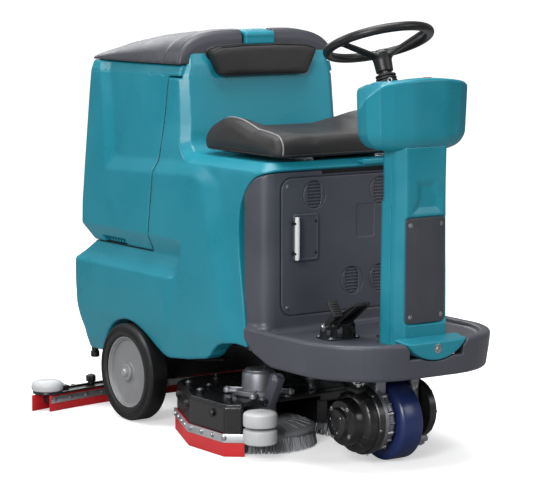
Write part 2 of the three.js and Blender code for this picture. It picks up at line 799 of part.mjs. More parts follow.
function accessPanel() {
  const plate = alongY(roundRect(-232, 232, 402, 792, 36), WALL_Y - 5, WALL_Y - GAP);
  const ventCentres = [
    [-118, 742],
    [118, 742],
    [16, 486],
    [118, 486],
  ];
  const slots = ventCentres.flatMap(([cx, cz]) =>
    [-2, -1, 0, 1, 2].map((row) => {
      const half = 0.8 * Math.sqrt(36 * 36 - (row * 14) ** 2);
      return box(cx - half, cx + half, WALL_Y - 9, WALL_Y + 4, cz + row * 14 - 3, cz + row * 14 + 3);
    }),
  );
  return cut(plate, ...slots);
}
add("access_panel", accessPanel(), grey);
const HATCH_Y = WALL_Y - 5 - GAP; // rear face of the hatch
add("hatch_cover", alongY(roundRect(-196, -108, 556, 690, 8, 2), HATCH_Y - 7, HATCH_Y), grey);
add(
  "hatch_handle",
  join(
    bar([-186, HATCH_Y - 30, 560], [-186, HATCH_Y - 30, 686], 7, 7, 12),
    box(-190, -182, HATCH_Y - 30, HATCH_Y - 7 - GAP, 574, 584),
    box(-190, -182, HATCH_Y - 30, HATCH_Y - 7 - GAP, 662, 672),
  ),
  paleGrey,
);
add(
  "battery_pack",
  join(
    box(-240, 240, -606, -190, SPINE_Z1 + GAP, 306),
    ...[-236, 4].flatMap((x) => [-602, -396].map((y) => box(x, x + 232, y, y + 202, 304, 560))),
  ),
  black,
);

// ---------------------------------------------------------------- steering column and console
const COLUMN_BASE = FLOOR_Z - 14;
function columnFront() {
  const plan = (k) => [
    [92 * k, -996],
    [92 * k, -1012],
    [74 * k, -1042],
    [-74 * k, -1042],
    [-92 * k, -1012],
    [-92 * k, -996],
    [-76 * k, -996],
    [-76 * k, -1008],
    [-64 * k, -1026],
    [64 * k, -1026],
    [76 * k, -1008],
    [76 * k, -996],
  ];
  const shell = stack([
    { plan: plan(1), z: COLUMN_BASE },
    { plan: plan(0.97), z: 560 },
    { plan: plan(0.93), z: 740 },
    { plan: plan(0.95), z: COLUMN_TOP },
  ]);
  const apron = alongY(arc(0, 398, 118, 187, 353, 12), PLAT_FRONT, -1041);
  const under = box(-130, 130, -1200, -1030, 250, 328);
  const panelSeat = alongY(roundRect(-79, 79, 413, 701, 12), -1060, -1038);
  return cut(join(shell, apron), panelSeat, under);
}
add("column_front_cover", columnFront(), teal);
add("column_panel", alongY(roundRect(-64, 64, 417, 697, 12), -1046, -1038 - GAP), grey);
function columnRear() {
  const plan = (k, y) => [
    [92 * k, -995],
    [92 * k, y - 20],
    [80 * k, y],
    [-80 * k, y],
    [-92 * k, y - 20],
    [-92 * k, -995],
    [-80 * k, -995],
    [-80 * k, y - 26],
    [-70 * k, y - 14],
    [70 * k, y - 14],
    [80 * k, y - 26],
    [80 * k, -995],
  ];
  return stack([
    { plan: plan(1, -936), z: COLUMN_BASE },
    { plan: plan(0.96, -936), z: 738 },
    { plan: plan(0.93, -944), z: 752 },
    { plan: plan(0.95, -944), z: COLUMN_TOP },
  ]);
}
add("column_rear_cover", columnRear(), teal);

// Plan of the console: wide over the column and drawn in towards the operator.
function consolePlan(k, ky) {
  const centre = -950;
  const half = [
    [72, -836],
    [130, -868],
    [176, -930],
    [188, -984],
    [172, -1020],
    [134, -1040],
    [60, -1060],
  ];
  return mirrored(half).map(([x, y]) => [x * k, centre + (y - centre) * ky]);
}
function consoleHousing() {
  const level = (k, ky, z) => consolePlan(k, ky).map(([x, y]) => [x, y, z]);
  const crown = consolePlan(1, 1).map(([x, y]) => [x, y, 1084 - x ** 2 / 1500 - Math.max(0, y + 950) * 0.3]);
  const shell = loft([
    level(0.56, 0.8, COLUMN_TOP + GAP),
    level(0.8, 0.93, 900),
    level(0.92, 0.97, 930),
    level(0.97, 0.99, 990),
    crown,
  ]);
  const dashPocket = box(-106, 106, -1012, -914, 1052, 1200);
  const bootSeat = bar([0, -876, 1026], [0, -842, 1119], 30);
  return cut(shell, dashPocket, bootSeat);
}
add("console_housing", consoleHousing(), teal);
const DASH_Z = 1066;
function consoleDash() {
  const keyHole = bar([-66, -960, 1040], [-66, -960, 1100], 10.6);
  const stopHole = bar([66, -960, 1040], [66, -960, 1100], 8.6);
  return cut(box(-105, 105, -1011, -915, 1052 + GAP, DASH_Z), keyHole, stopHole);
}
add("console_dash", consoleDash(), black);
function keySwitch() {
  const barrel = bar([-66, -960, 1054], [-66, -960, DASH_Z + 4], 10);
  return join(barrel, box(-68, -64, -969, -951, DASH_Z + 3, DASH_Z + 18));
}
add("key_switch", keySwitch(), steel);
function stopButton() {
  const stem = bar([66, -960, 1060], [66, -960, DASH_Z + 10], 8);
  return join(stem, bar([66, -960, DASH_Z + 9], [66, -960, DASH_Z + 22], 18, 16, 20));
}
add("stop_button", stopButton(), red);

// ---------------------------------------------------------------- steering wheel
// Built about the origin with its axis up, then leaned back and put in place.
const onColumn = (made) => made.rotate([-WHEEL_TILT, 0, 0]).translate([0, WHEEL_Y, WHEEL_Z]);
function steeringWheel() {
  const rim = solid(new THREE.TorusGeometry(WHEEL_R, RIM_R, 8, 36));
  const hub = join(bar([0, 0, -88], [0, 0, -34], 24, 28, 24), bar([0, 0, -34], [0, 0, -24], 28, 22, 24));
  const spokes = [65, 185, 305].map((deg) => {
    const a = (deg * Math.PI) / 180;
    const reach = WHEEL_R - 2;
    const inner = [16 * Math.cos(a), 16 * Math.sin(a), -46];
    return bar(inner, [reach * Math.cos(a), reach * Math.sin(a), -2], 12, 8, 10);
  });
  return cut(join(rim, hub, ...spokes), bar([0, 0, -100], [0, 0, -44], 9.6, 9.6, 16));
}
add("steering_wheel", onColumn(steeringWheel()), black);
add("steering_shaft", onColumn(bar([0, 0, -146], [0, 0, -45], 9, 9, 16)), steel);
function steeringBoot() {
  const folds = [0, 1, 2, 3, 4].flatMap((i) => [
    [28 - i, -134 + i * 8],
    [22 - i, -130 + i * 8],
  ]);
  const sleeve = turned([[0, -136], ...folds, [20, -92], [0, -92]], 20);
  return cut(sleeve, bar([0, 0, -160], [0, 0, -80], 10.5, 10.5, 16));
}
add("steering_boot", onColumn(steeringBoot()), black);

// ---------------------------------------------------------------- pedals
function pedalBase() {
  const plate = box(-198, -90, -868, -796, FLOOR_Z + GAP, FLOOR_Z + 8);
  const lugs = [-196, -160, -96].map((x) => box(x, x + 4, -842, -818, FLOOR_Z + 4, FLOOR_Z + 44));
  return join(plate, ...lugs, bar([-194, ...PEDAL_PIN], [-94, ...PEDAL_PIN], 5, 5, 12));
}
add("pedal_base", pedalBase(), black);
const onPedalPin = (yzOutline, x0, x1) =>
  cut(
    alongX(
      yzOutline.map(([y, z]) => [y, FLOOR_Z + z]),
      x0,
      x1,
    ),
    bar([x0 - 5, ...PEDAL_PIN], [x1 + 5, ...PEDAL_PIN], 5.8, 5.8, 12),
  );
const drivePedalLine = [
  [-790, 30],
  [-786, 37],
  [-915, 108],
  [-922, 99],
  [-845, 44],
  [-842, 27],
  [-818, 24],
];
add("drive_pedal", onPedalPin(drivePedalLine, -153, -99), black);
const brakePedalLine = [
  [-818, 26],
  [-818, 48],
  [-852, 78],
  [-838, 98],
  [-844, 102],
  [-872, 66],
  [-866, 62],
  [-858, 70],
  [-842, 46],
  [-842, 26],
];
add("brake_pedal", onPedalPin(brakePedalLine, -189, -163), black);

export default machine;
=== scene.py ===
"""Looks of a ride-on floor scrubber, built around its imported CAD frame.

Shapes are worked out in millimetres with the lengthwise axis measured from the rear axle, +Z up, the nose
along -Y and the operator's left hand at +X. `row` turns those points into the frame's metres.
"""

import json
import math

import bmesh
import bpy
import numpy as np
import openvdb
from mathutils import Matrix, Vector
from mathutils.bvhtree import BVHTree

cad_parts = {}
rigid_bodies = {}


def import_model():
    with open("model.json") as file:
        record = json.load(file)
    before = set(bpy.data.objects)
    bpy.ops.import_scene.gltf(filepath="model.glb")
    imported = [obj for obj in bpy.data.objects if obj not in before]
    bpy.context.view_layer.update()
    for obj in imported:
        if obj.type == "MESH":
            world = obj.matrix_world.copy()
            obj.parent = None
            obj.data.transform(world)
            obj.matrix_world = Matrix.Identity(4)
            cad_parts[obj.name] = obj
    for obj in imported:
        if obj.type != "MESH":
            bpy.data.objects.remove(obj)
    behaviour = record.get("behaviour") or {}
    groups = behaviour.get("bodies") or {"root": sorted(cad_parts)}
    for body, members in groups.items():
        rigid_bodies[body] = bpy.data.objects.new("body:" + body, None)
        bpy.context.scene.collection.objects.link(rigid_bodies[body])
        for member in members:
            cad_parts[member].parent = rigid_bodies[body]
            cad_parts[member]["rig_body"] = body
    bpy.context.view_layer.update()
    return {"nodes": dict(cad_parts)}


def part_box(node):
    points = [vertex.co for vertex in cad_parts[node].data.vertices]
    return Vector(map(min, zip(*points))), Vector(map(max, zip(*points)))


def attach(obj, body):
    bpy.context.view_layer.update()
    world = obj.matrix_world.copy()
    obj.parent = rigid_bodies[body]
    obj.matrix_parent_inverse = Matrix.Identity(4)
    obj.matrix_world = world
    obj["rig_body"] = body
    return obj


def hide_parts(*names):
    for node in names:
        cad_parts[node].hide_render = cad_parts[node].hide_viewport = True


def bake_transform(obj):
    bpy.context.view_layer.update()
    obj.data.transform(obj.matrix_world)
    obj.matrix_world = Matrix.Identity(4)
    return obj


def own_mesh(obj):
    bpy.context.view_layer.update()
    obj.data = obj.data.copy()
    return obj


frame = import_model()
F = np.float32
SIDES = (("right", -1), ("left", 1))

_axle_lo, _axle_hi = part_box("rear_axle")
AXLE_Y = (_axle_lo.y + _axle_hi.y) / 2


def row(points):
    """Millimetres from the rear axle to metres in the frame."""
    p = np.asarray(points, float) * 0.001
    p[..., 1] += AXLE_Y
    return p


def span(node):
    """Box of a CAD node as x0, x1, y0, y1, z0, z1 in millimetres from the rear axle."""
    lo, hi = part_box(node)
    return (lo.x * 1e3, hi.x * 1e3, (lo.y - AXLE_Y) * 1e3, (hi.y - AXLE_Y) * 1e3, lo.z * 1e3, hi.z * 1e3)


# ---------------------------------------------------------------- distance fields
def rint(a, b, r):
    """Intersection with a round edge."""
    return np.minimum(-r, np.maximum(a, b)) + np.hypot(np.maximum(r + a, 0), np.maximum(r + b, 0))


def runi(a, b, r):
    """Union with a round fillet."""
    return -rint(-a, -b, r)


def rcut(a, b, r):
    """Cut with a round edge."""
    return rint(a, -b, r)


def cint(a, b, r):
    """Intersection with a flat 45 degree chamfer."""
    return np.maximum(np.maximum(a, b), (a + b + r) * 0.7071)


def smax(a, b, k):
    """The larger value, blended over k."""
    m = np.maximum(k - np.abs(a - b), 0)
    return np.maximum(a, b) + m * m / (4 * k)


def smin(a, b, k):
    """The smaller value, blended over k."""
    return -smax(-a, -b, k)


def clamp(t, top, k):
    """t held between 0 and top, with soft creases."""
    return smin(smax(t, 0, k), top, k)


def lerp(x, xs, ys):
    """Values along a bent line."""
    return np.interp(x, xs, ys).astype(F)


def poly(points, u, v):
    """Signed distance to a closed outline in a plane, negative inside."""
    d = F(1e12)
    inside = np.zeros(np.broadcast(u, v).shape, bool)
    n = len(points)
    for i in range(n):
        (au, av), (bu, bv) = points[i], points[i - 1]
        eu, ev = F(bu - au), F(bv - av)
        wu, wv = u - F(au), v - F(av)
        t = np.clip((wu * eu + wv * ev) / (eu * eu + ev * ev + F(1e-9)), 0, 1)
        d = np.minimum(d, (wu - eu * t) ** 2 + (wv - ev * t) ** 2)
        c1, c2, c3 = v >= F(av), v < F(bv), eu * wv > ev * wu
        inside ^= (c1 & c2 & c3) | (~c1 & ~c2 & ~c3)
    d = np.sqrt(d)
    return np.where(inside, -d, d)


def fillet(points, n=5):
    """Outline of (u, v) or (u, v, radius) corners with the corners rounded."""
    out = []
    m = len(points)
    for i, p in enumerate(points):
        r = p[2] if len(p) > 2 else 0
        c = Vector(p[:2])
        if r <= 0:
            out.append((c.x, c.y))
            continue
        a = (Vector(points[i - 1][:2]) - c).normalized()
        b = (Vector(points[(i + 1) % m][:2]) - c).normalized()
        half = a.angle(b) / 2
        reach = r / math.tan(half)
        s, e = c + a * reach, c + b * reach
        mid = c + (a + b).normalized() * (r / math.sin(half))
        a0 = math.atan2(s.y - mid.y, s.x - mid.x)
        da = (math.atan2(e.y - mid.y, e.x - mid.x) - a0 + math.pi) % (2 * math.pi) - math.pi
        for k in range(n + 1):
            t = a0 + da * k / n
            out.append((mid.x + r * math.cos(t), mid.y + r * math.sin(t)))
    return out


def mirror(half):
    """Outline of the +u half followed by its mirror image."""
    return [tuple(p) for p in half] + [(-p[0],) + tuple(p[1:]) for p in reversed(half)]


def turned(cu, cv, r, a):
    """The point at angle a on a circle in a plane."""
    return cu + r * math.cos(a), cv + r * math.sin(a)


def rounded(u0, u1, v0, v1, r=0, n=5):
    """Outline of a rectangle with round corners."""
    return fillet([(u0, v0, r), (u1, v0, r), (u1, v1, r), (u0, v1, r)], n)


def bar_profile(r, lo, hi):
    """Profile of a plain round bar."""
    return [(0, lo), (r, lo), (r, hi), (0, hi)]


def rrect(u, v, u0, u1, v0, v1, r):
    """Rounded rectangle in a plane."""
    a = np.abs(u - F((u0 + u1) / 2)) - F((u1 - u0) / 2 - r)
    b = np.abs(v - F((v0 + v1) / 2)) - F((v1 - v0) / 2 - r)
    return np.minimum(np.maximum(a, b), 0) + np.hypot(np.maximum(a, 0), np.maximum(b, 0)) - F(r)


def block(x, y, z, x0, x1, y0, y1, z0, z1, r=0.0):
    """Box with every edge rounded."""
    q = [
        np.abs(w - F((a + b) / 2)) - F((b - a) / 2 - r)
        for w, a, b in ((x, x0, x1), (y, y0, y1), (z, z0, z1))
    ]
    m = np.maximum(np.maximum(q[0], q[1]), q[2])
    out = np.sqrt(sum(np.maximum(w, 0) ** 2 for w in q))
    return np.minimum(m, 0) + out - F(r)


def slab(w, lo, hi):
    """Distance to the layer between two parallel planes."""
    return np.abs(w - F((lo + hi) / 2)) - F((hi - lo) / 2)


def disc(u, v, cu, cv, r):
    """Distance to a circle in a plane."""
    return np.hypot(u - F(cu), v - F(cv)) - F(r)


def surface(f, lo, hi, h, steps=2):
    """Quads over the zero surface of field f between corners lo and hi, h apart, pulled onto the surface."""
    axes = [np.arange(a - 2.6 * h, b + 3.1 * h, h).astype(F) for a, b in zip(lo, hi)]
    x, y, z = axes[0][:, None, None], axes[1][None, :, None], axes[2][None, None, :]
    d = np.broadcast_to(f(x, y, z), [len(a) for a in axes])
    grid = openvdb.FloatGrid(3.0)
    grid.copyFromArray(np.clip(d / F(h), -3, 3).astype(F))
    points, quads = grid.convertToQuads(0.0)
    p = points.astype(np.float64) * h + [a[0] for a in axes]
    e = 0.4
    for _ in range(steps):
        q = p.astype(F)
        v = f(q[:, 0], q[:, 1], q[:, 2])
        g = np.empty_like(p)
        for k in range(3):
            up, down = q.copy(), q.copy()
            up[:, k] += F(e)
            down[:, k] -= F(e)
            g[:, k] = (f(up[:, 0], up[:, 1], up[:, 2]) - f(down[:, 0], down[:, 1], down[:, 2])) / (2 * e)
        g2 = np.maximum((g * g).sum(1), 0.05)
        move = np.clip(v / g2, -0.5 * h, 0.5 * h)[:, None] * g
        p -= 0.9 * move
    return p, quads


# ---------------------------------------------------------------- meshes from points
def lathe(profile, n=48, at=(0, 0, 0), axis=(0, 0, 1)):
    """Profile of (radius, height) turned round an axis. A radius of 0 closes to a point."""
    verts, rings = [], []
    for r, h in profile:
        if r <= 1e-6:
            rings.append([len(verts)])
            verts.append((0, 0, h))
        else:
            rings.append(list(range(len(verts), len(verts) + n)))
            verts += [
                (r * math.cos(2 * math.pi * k / n), r * math.sin(2 * math.pi * k / n), h) for k in range(n)
            ]
    faces = []
    for a, b in zip(rings, rings[1:]):
        if len(a) == 1 and len(b) == 1:
            continue
        for k in range(n):
            j = (k + 1) % n
            if len(a) == 1:
                faces.append((a[0], b[k], b[j]))
            elif len(b) == 1:
                faces.append((a[k], a[j], b[0]))
            else:
                faces.append((a[k], a[j], b[j], b[k]))
    turn = Vector((0, 0, 1)).rotation_difference(Vector(axis)).to_matrix()
    v = np.array(verts) @ np.array(turn).T + np.array(at)
    return v, faces


def ring(profile, n=48, at=(0, 0, 0), axis=(0, 0, 1)):
    """A closed profile of (radius, height) turned round an axis."""
    return lathe(list(profile) + [profile[0]], n, at, axis)


def rbox(x0, x1, y0, y1, z0, z1, r=2.0):
    """Box with bevelled edges."""
    bm = bmesh.new()
    bmesh.ops.create_cube(bm, size=1)
    for v in bm.verts:
        v.co = Vector(
            (
                x0 + (x1 - x0) * (v.co.x + 0.5), y0 + (y1 - y0) * (v.co.y + 0.5),
                z0 + (z1 - z0) * (v.co.z + 0.5)
            )
        )
    r = min(r, 0.45 * min(x1 - x0, y1 - y0, z1 - z0))
    if r > 0:
        bmesh.ops.bevel(bm, geom=bm.edges[:], offset=r, segments=2, affect="EDGES", profile=0.5)
    return drain(bm)


def drain(bm):
    """Points and faces of a bmesh, which is freed."""
    bm.verts.index_update()
    v = np.array([tuple(w.co) for w in bm.verts])
    f = [tuple(w.index for w in face.verts) for face in bm.faces]
    bm.free()
    return v, f


AXES = {"x": (1, 2, 0), "y": (0, 2, 1), "z": (0, 1, 2)}


def plate(outline, axis, lo, hi, r=1.0):
    """An outline pushed along an axis, its rims bevelled. x takes (y, z), y takes (x, z), z takes (x, y)."""
    u, v, w = AXES[axis]
    bm = bmesh.new()
    rows = []
    for level in (lo, hi):
        got = []
        for p in outline:
            co = [0, 0, 0]
            co[u], co[v], co[w] = p[0], p[1], level
            got.append(bm.verts.new(co))
        rows.append(got)
    n = len(outline)
    bm.faces.new(rows[0][::-1])
    bm.faces.new(rows[1])
    for k in range(n):
        bm.faces.new((rows[0][k], rows[0][(k + 1) % n], rows[1][(k + 1) % n], rows[1][k]))
    bmesh.ops.recalc_face_normals(bm, faces=bm.faces[:])
    if r > 0:
        rims = [e for e in bm.edges if (e.verts[0] in rows[0]) == (e.verts[1] in rows[0])]
        bmesh.ops.bevel(bm, geom=rims, offset=r, segments=2, affect="EDGES", profile=0.5)
    return drain(bm)


def spline(points, n=8):
    """Catmull-Rom line through points."""
    p = [np.array(q, float) for q in points]
    p = [2 * p[0] - p[1]] + p + [2 * p[-1] - p[-2]]
    out = []
    for a, b, c, d in zip(p, p[1:], p[2:], p[3:]):
        for k in range(n):
            t = k / n
            out.append(
                0.5 * (
                    2 * b + (c - a) * t + (2 * a - 5 * b + 4 * c - d) * t * t
                    + (3 * b - a - 3 * c + d) * t**3
                )
            )
    return out + [p[-2]]


def tube(path, radius, n=12, closed=False):
    """A round tube along a list of points. The radius may change along it."""
    p = [Vector(q) for q in path]
    m = len(p)
    radii = radius if isinstance(radius, (list, tuple, np.ndarray)) else [radius] * m
    verts, faces = [], []
    side = None
    for i in range(m):
        if closed:
            along = (p[(i + 1) % m] - p[i - 1]).normalized()
        else:
            along = (p[min(i + 1, m - 1)] - p[max(i - 1, 0)]).normalized()
        if side is None:
            side = along.orthogonal().normalized()
        side = (side - along * side.dot(along)).normalized()
        up = along.cross(side)
        for k in range(n):
            a = 2 * math.pi * k / n
            verts.append(tuple(p[i] + (side * math.cos(a) + up * math.sin(a)) * float(radii[i])))
    for i in range(m if closed else m - 1):
        a, b = i * n, ((i + 1) % m) * n
        for k in range(n):
            j = (k + 1) % n
            faces.append((a + k, a + j, b + j, b + k))
    if not closed:
        faces.append(tuple(reversed(range(n))))
        faces.append(tuple(range((m - 1) * n, m * n)))
    return np.array(verts), faces


def joined(*parts):
    """Several parts as one."""
    verts, faces, base = [], [], 0
    for v, f in parts:
        verts.append(np.asarray(v, float))
        if isinstance(f, np.ndarray):
            f = f.tolist()
        faces += [tuple(i + base for i in face) for face in f]
        base += len(v)
    return np.concatenate(verts), faces


def moved(part, matrix):
    """A part carried by a matrix."""
    v, f = part
    m = np.array(matrix)
    return np.asarray(v) @ m[:3, :3].T + m[:3, 3], f


def flipped(part):
    """The mirror image on the other side of the machine."""
    v, f = part
    if isinstance(f, np.ndarray):
        return v * [-1, 1, 1], f[:, ::-1]
    return v * [-1, 1, 1], [face[::-1] for face in f]


def onside(part, s):
    """Parts are drawn for the right-hand side."""
    return part if s < 0 else flipped(part)


def bolt(at, axis, r=5.5, washer=True):
    """Bolt head with its washer, seated at a point and facing along an axis."""
    head = [
        (0, 0.55 * r + 1), (0.5 * r, 0.55 * r + 1), (0.86 * r, 0.5 * r + 1), (r, 0.3 * r + 1), (r, 0.2),
        (0, 0.2)
    ]
    parts = [lathe(head, 6, at, axis)]
    if washer:
        parts.append(
            lathe([(0, 1.4), (1.55 * r, 1.4), (1.75 * r, 0.9), (1.75 * r, -0.6), (0, -0.6)], 20, at, axis)
        )
    return joined(*parts)


def screw(at, axis, r=5.0):
    """Domed socket screw."""
    dome = [
        (0, 0.15 * r), (0.42 * r, 0.15 * r), (0.45 * r, 0.62 * r), (0.7 * r, 0.55 * r), (0.95 * r, 0.3 * r)
    ]
    return lathe(dome + [(r, 0.05 * r), (r, -1.0), (0, -1.0)], 20, at, axis)


def piece(name, part, material, body, replaces=(), sharp=32):
    """A Blender object from points in millimetres, riding on a CAD body."""
    v, f = part
    me = bpy.data.meshes.new(name)
    co = row(v).astype(F)
    if isinstance(f, np.ndarray):
        k = f.shape[1]
        me.vertices.add(len(co))
        me.vertices.foreach_set("co", co.ravel())
        me.loops.add(f.size)
        me.loops.foreach_set("vertex_index", f.astype(np.int32).ravel())
        me.polygons.add(len(f))
        me.polygons.foreach_set("loop_start", np.arange(0, f.size, k, dtype=np.int32))
        me.update(calc_edges=True)
    else:
        me.from_pydata(co.tolist(), [], f)
        me.update()
        bm = bmesh.new()
        bm.from_mesh(me)
        bmesh.ops.recalc_face_normals(bm, faces=bm.faces[:])
        bm.to_mesh(me)
        bm.free()
    me.polygons.foreach_set("use_smooth", np.ones(len(me.polygons), bool))
    if sharp:
        me.set_sharp_from_angle(angle=math.radians(sharp))
    ob = bpy.data.objects.new(name, me)
    bpy.context.scene.collection.objects.link(ob)
    me.materials.append(material)
    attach(ob, body)
    for node in replaces:
        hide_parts(node)
    return ob


def shell(name, part, material, body, replaces=()):
    """A piece that is smooth all over."""
    return piece(name, part, material, body, replaces, sharp=0)


# ---------------------------------------------------------------- materials
def srgb(r, g, b):
    def one(c):
        c /= 255
        return c / 12.92 if c <= 0.04045 else ((c + 0.055) / 1.055) ** 2.4

    return one(r), one(g), one(b), 1.0


def made_material(name, color, rough=0.45, metal=0.0, grain=500.0, bump=0.05, edge_highlight=0.25, vary=0.06,
                  spread=0.08, stretch=(1, 1, 1), cells=False, coat=0.0, specular=0.5, dist=0.0004):
    """Moulded, painted, cast or brushed finish: varied grain, colour and gloss, sharp edges lightened as a
    painted highlight and creases darkened as painted shade.
    """
    m = bpy.data.materials.new(name)
    m.use_nodes = True
    t = m.node_tree
    n, link = t.nodes, t.links.new
    b = n["Principled BSDF"]
    b.inputs["Metallic"].default_value = metal
    b.inputs["Coat Weight"].default_value = coat
    b.inputs["Coat Roughness"].default_value = 0.2
    b.inputs["Specular IOR Level"].default_value = specular
    where = n.new("ShaderNodeTexCoord")
    place = n.new("ShaderNodeMapping")
    place.inputs["Scale"].default_value = stretch
    link(where.outputs["Object"], place.inputs["Vector"])

    def noise(scale, detail=3.0):
        k = n.new("ShaderNodeTexNoise")
        k.inputs["Scale"].default_value = scale
        k.inputs["Detail"].default_value = detail
        link(place.outputs["Vector"], k.inputs["Vector"])
        return k

    def mix(kind, a, b_, factor):
        k = n.new("ShaderNodeMix")
        k.data_type = "RGBA"
        k.blend_type = kind
        for socket, value in ((k.inputs[6], a), (k.inputs[7], b_), (k.inputs[0], factor)):
            if isinstance(value, bpy.types.NodeSocket):
                link(value, socket)
            else:
                socket.default_value = value
        return k.outputs[2]

    def ranged(source, a0, a1, b0, b1):
        k = n.new("ShaderNodeMapRange")
        for i, value in enumerate((a0, a1, b0, b1)):
            k.inputs[i + 1].default_value = value
        link(source, k.inputs[0])
        return k.outputs[0]

    cloud = noise(7.0)
    fine = noise(grain, 2.0)
    light = tuple(min(1.0, c * (1 + 2.2 * vary) + 0.004) for c in color[:3]) + (1.0,)
    dark = tuple(c * (1 - 2.0 * vary) for c in color[:3]) + (1.0,)
    base = mix("MIX", dark, light, ranged(cloud.outputs["Fac"], 0.3, 0.7, 0, 1))
    speck = ranged(fine.outputs["Fac"], 0.3, 0.75, 0, vary)
    base = mix("MIX", base, light, speck)
    geo = n.new("ShaderNodeNewGeometry")
    # Sharp edges (high pointiness) are lightened towards a paler tint: a painted highlight.
    edge = ranged(geo.outputs["Pointiness"], 0.53, 0.6, 0, edge_highlight)
    edge_highlight_color = tuple(min(1.0, c * 1.7 + 0.03) for c in color[:3]) + (1.0,)
    base = mix("MIX", base, edge_highlight_color, edge)
    # Hollows and creases (low pointiness) are darkened: painted shade.
    groove = ranged(geo.outputs["Pointiness"], 0.38, 0.465, 0.5, 0)
    base = mix("MULTIPLY", base, (0.35, 0.35, 0.35, 1), groove)
    link(base, b.inputs["Base Color"])
    link(ranged(cloud.outputs["Fac"], 0.3, 0.7, rough - spread, rough + spread), b.inputs["Roughness"])
    if cells:
        k = n.new("ShaderNodeTexVoronoi")
        k.inputs["Scale"].default_value = grain
        link(place.outputs["Vector"], k.inputs["Vector"])
        height = mix("MIX", fine.outputs["Color"], k.outputs["Distance"], 0.7)
    else:
        height = fine.outputs["Fac"]
    bumps = n.new("ShaderNodeBump")
    bumps.inputs["Strength"].default_value = bump
    bumps.inputs["Distance"].default_value = dist
    link(height, bumps.inputs["Height"])
    link(bumps.outputs[0], b.inputs["Normal"])
    return m


teal = made_material(
    "teal_moulding", srgb(24, 126, 144), 0.34, grain=700, bump=0.25, edge_highlight=0.2, vary=0.02, specular=0.4
)
grey = made_material("grey_moulding", srgb(66, 68, 77), 0.4, grain=900, bump=0.4, edge_highlight=0.3, vary=0.03)
dark_grey = made_material(
    "dark_grey_moulding", srgb(56, 58, 65), 0.44, grain=900, bump=0.4, edge_highlight=0.25, vary=0.03
)
black = made_material("black_moulding", srgb(9, 9, 10), 0.36, grain=900, bump=0.5, edge_highlight=0.2)
paint = made_material("black_paint", srgb(13, 13, 15), 0.3, grain=220, bump=0.35, edge_highlight=0.3, coat=0.2)
vinyl = made_material(
    "seat_vinyl", srgb(38, 36, 36), 0.46, grain=1100, bump=0.9, edge_highlight=0.15, cells=True, dist=0.0005
)
red = made_material("red_rubber", srgb(198, 28, 34), 0.42, grain=400, bump=0.3, edge_highlight=0.2, vary=0.06)
rubber = made_material("black_rubber", srgb(14, 14, 15), 0.56, grain=450, bump=0.6, edge_highlight=0.2, spread=0.12)
tyre_rubber = made_material("tyre_rubber", srgb(7, 7, 8), 0.5, grain=300, bump=0.5, edge_highlight=0.25, spread=0.12)
steel = made_material(
    "steel", srgb(196, 198, 202), 0.38, 1.0, grain=160, bump=0.15, edge_highlight=0.4, stretch=(1, 1, 14)
)
zinc = made_material("zinc_bolts", srgb(160, 162, 165), 0.3, 1.0, grain=500, bump=0.2, edge_highlight=0.4)
casting = made_material(
    "cast_aluminium", srgb(138, 140, 145), 0.46, 0.85, grain=380, bump=0.8, edge_highlight=0.4, spread=0.1
)
blue = made_material("blue_polyurethane", srgb(24, 42, 92), 0.34, grain=300, bump=0.25, edge_highlight=0.2, vary=0.07)
rim_grey = made_material("rim_paint", srgb(136, 137, 139), 0.46, 0.15, grain=420, bump=0.35, edge_highlight=0.3)
pale = made_material("pale_moulding", srgb(188, 189, 191), 0.4, grain=700, bump=0.3, edge_highlight=0.15, vary=0.04)
mid_grey = made_material("mid_grey_moulding", srgb(124, 126, 129), 0.46, grain=700, bump=0.4, edge_highlight=0.25)
bristle = made_material("bristle", srgb(146, 149, 153), 0.55, grain=260, bump=0.4, edge_highlight=0.2, vary=0.2)
button_red = made_material("button_red", srgb(200, 28, 26), 0.3, grain=500, bump=0.15, edge_highlight=0.2, coat=0.3)
white = made_material("white_moulding", srgb(208, 209, 209), 0.4, grain=700, bump=0.2, edge_highlight=0.1, vary=0.03)
# Near-black: the dash rockers' own colour, and painted shade behind the vents, behind the wall slot and in
# the tank seam.
painted_shade_and_switch_black = made_material("painted_shade_and_rocker_black", srgb(3, 3, 3), 0.8, grain=400, bump=0.3, edge_highlight=0.1)
glass = made_material("display_glass", srgb(30, 38, 40), 0.12, grain=60, bump=0.03, edge_highlight=0.05, coat=0.6)

# Nodes that are shown as they were modelled still get a finish of their own and a small rounded edge.
for node, finish in (
    ("chassis_frame", paint), ("rear_axle", steel), ("battery_pack", black), ("vacuum_motor", black)
):
    shown = frame["nodes"].get(node)
    if shown is None:
        continue
    for place in shown.material_slots:
        place.material = finish
    round_over = shown.modifiers.new("edges", "BEVEL")
    round_over.width = 0.0012
    round_over.segments = 2
    round_over.limit_method = "ANGLE"


# ---------------------------------------------------------------- body side shape
SEAM_Z = span("recovery_tank")[4] - 4
LID_Z = span("tank_lid")[4]
DECK_Z = 838.0
WHEEL_ARCH = 168.0
ARCH_AT = (18, 140)


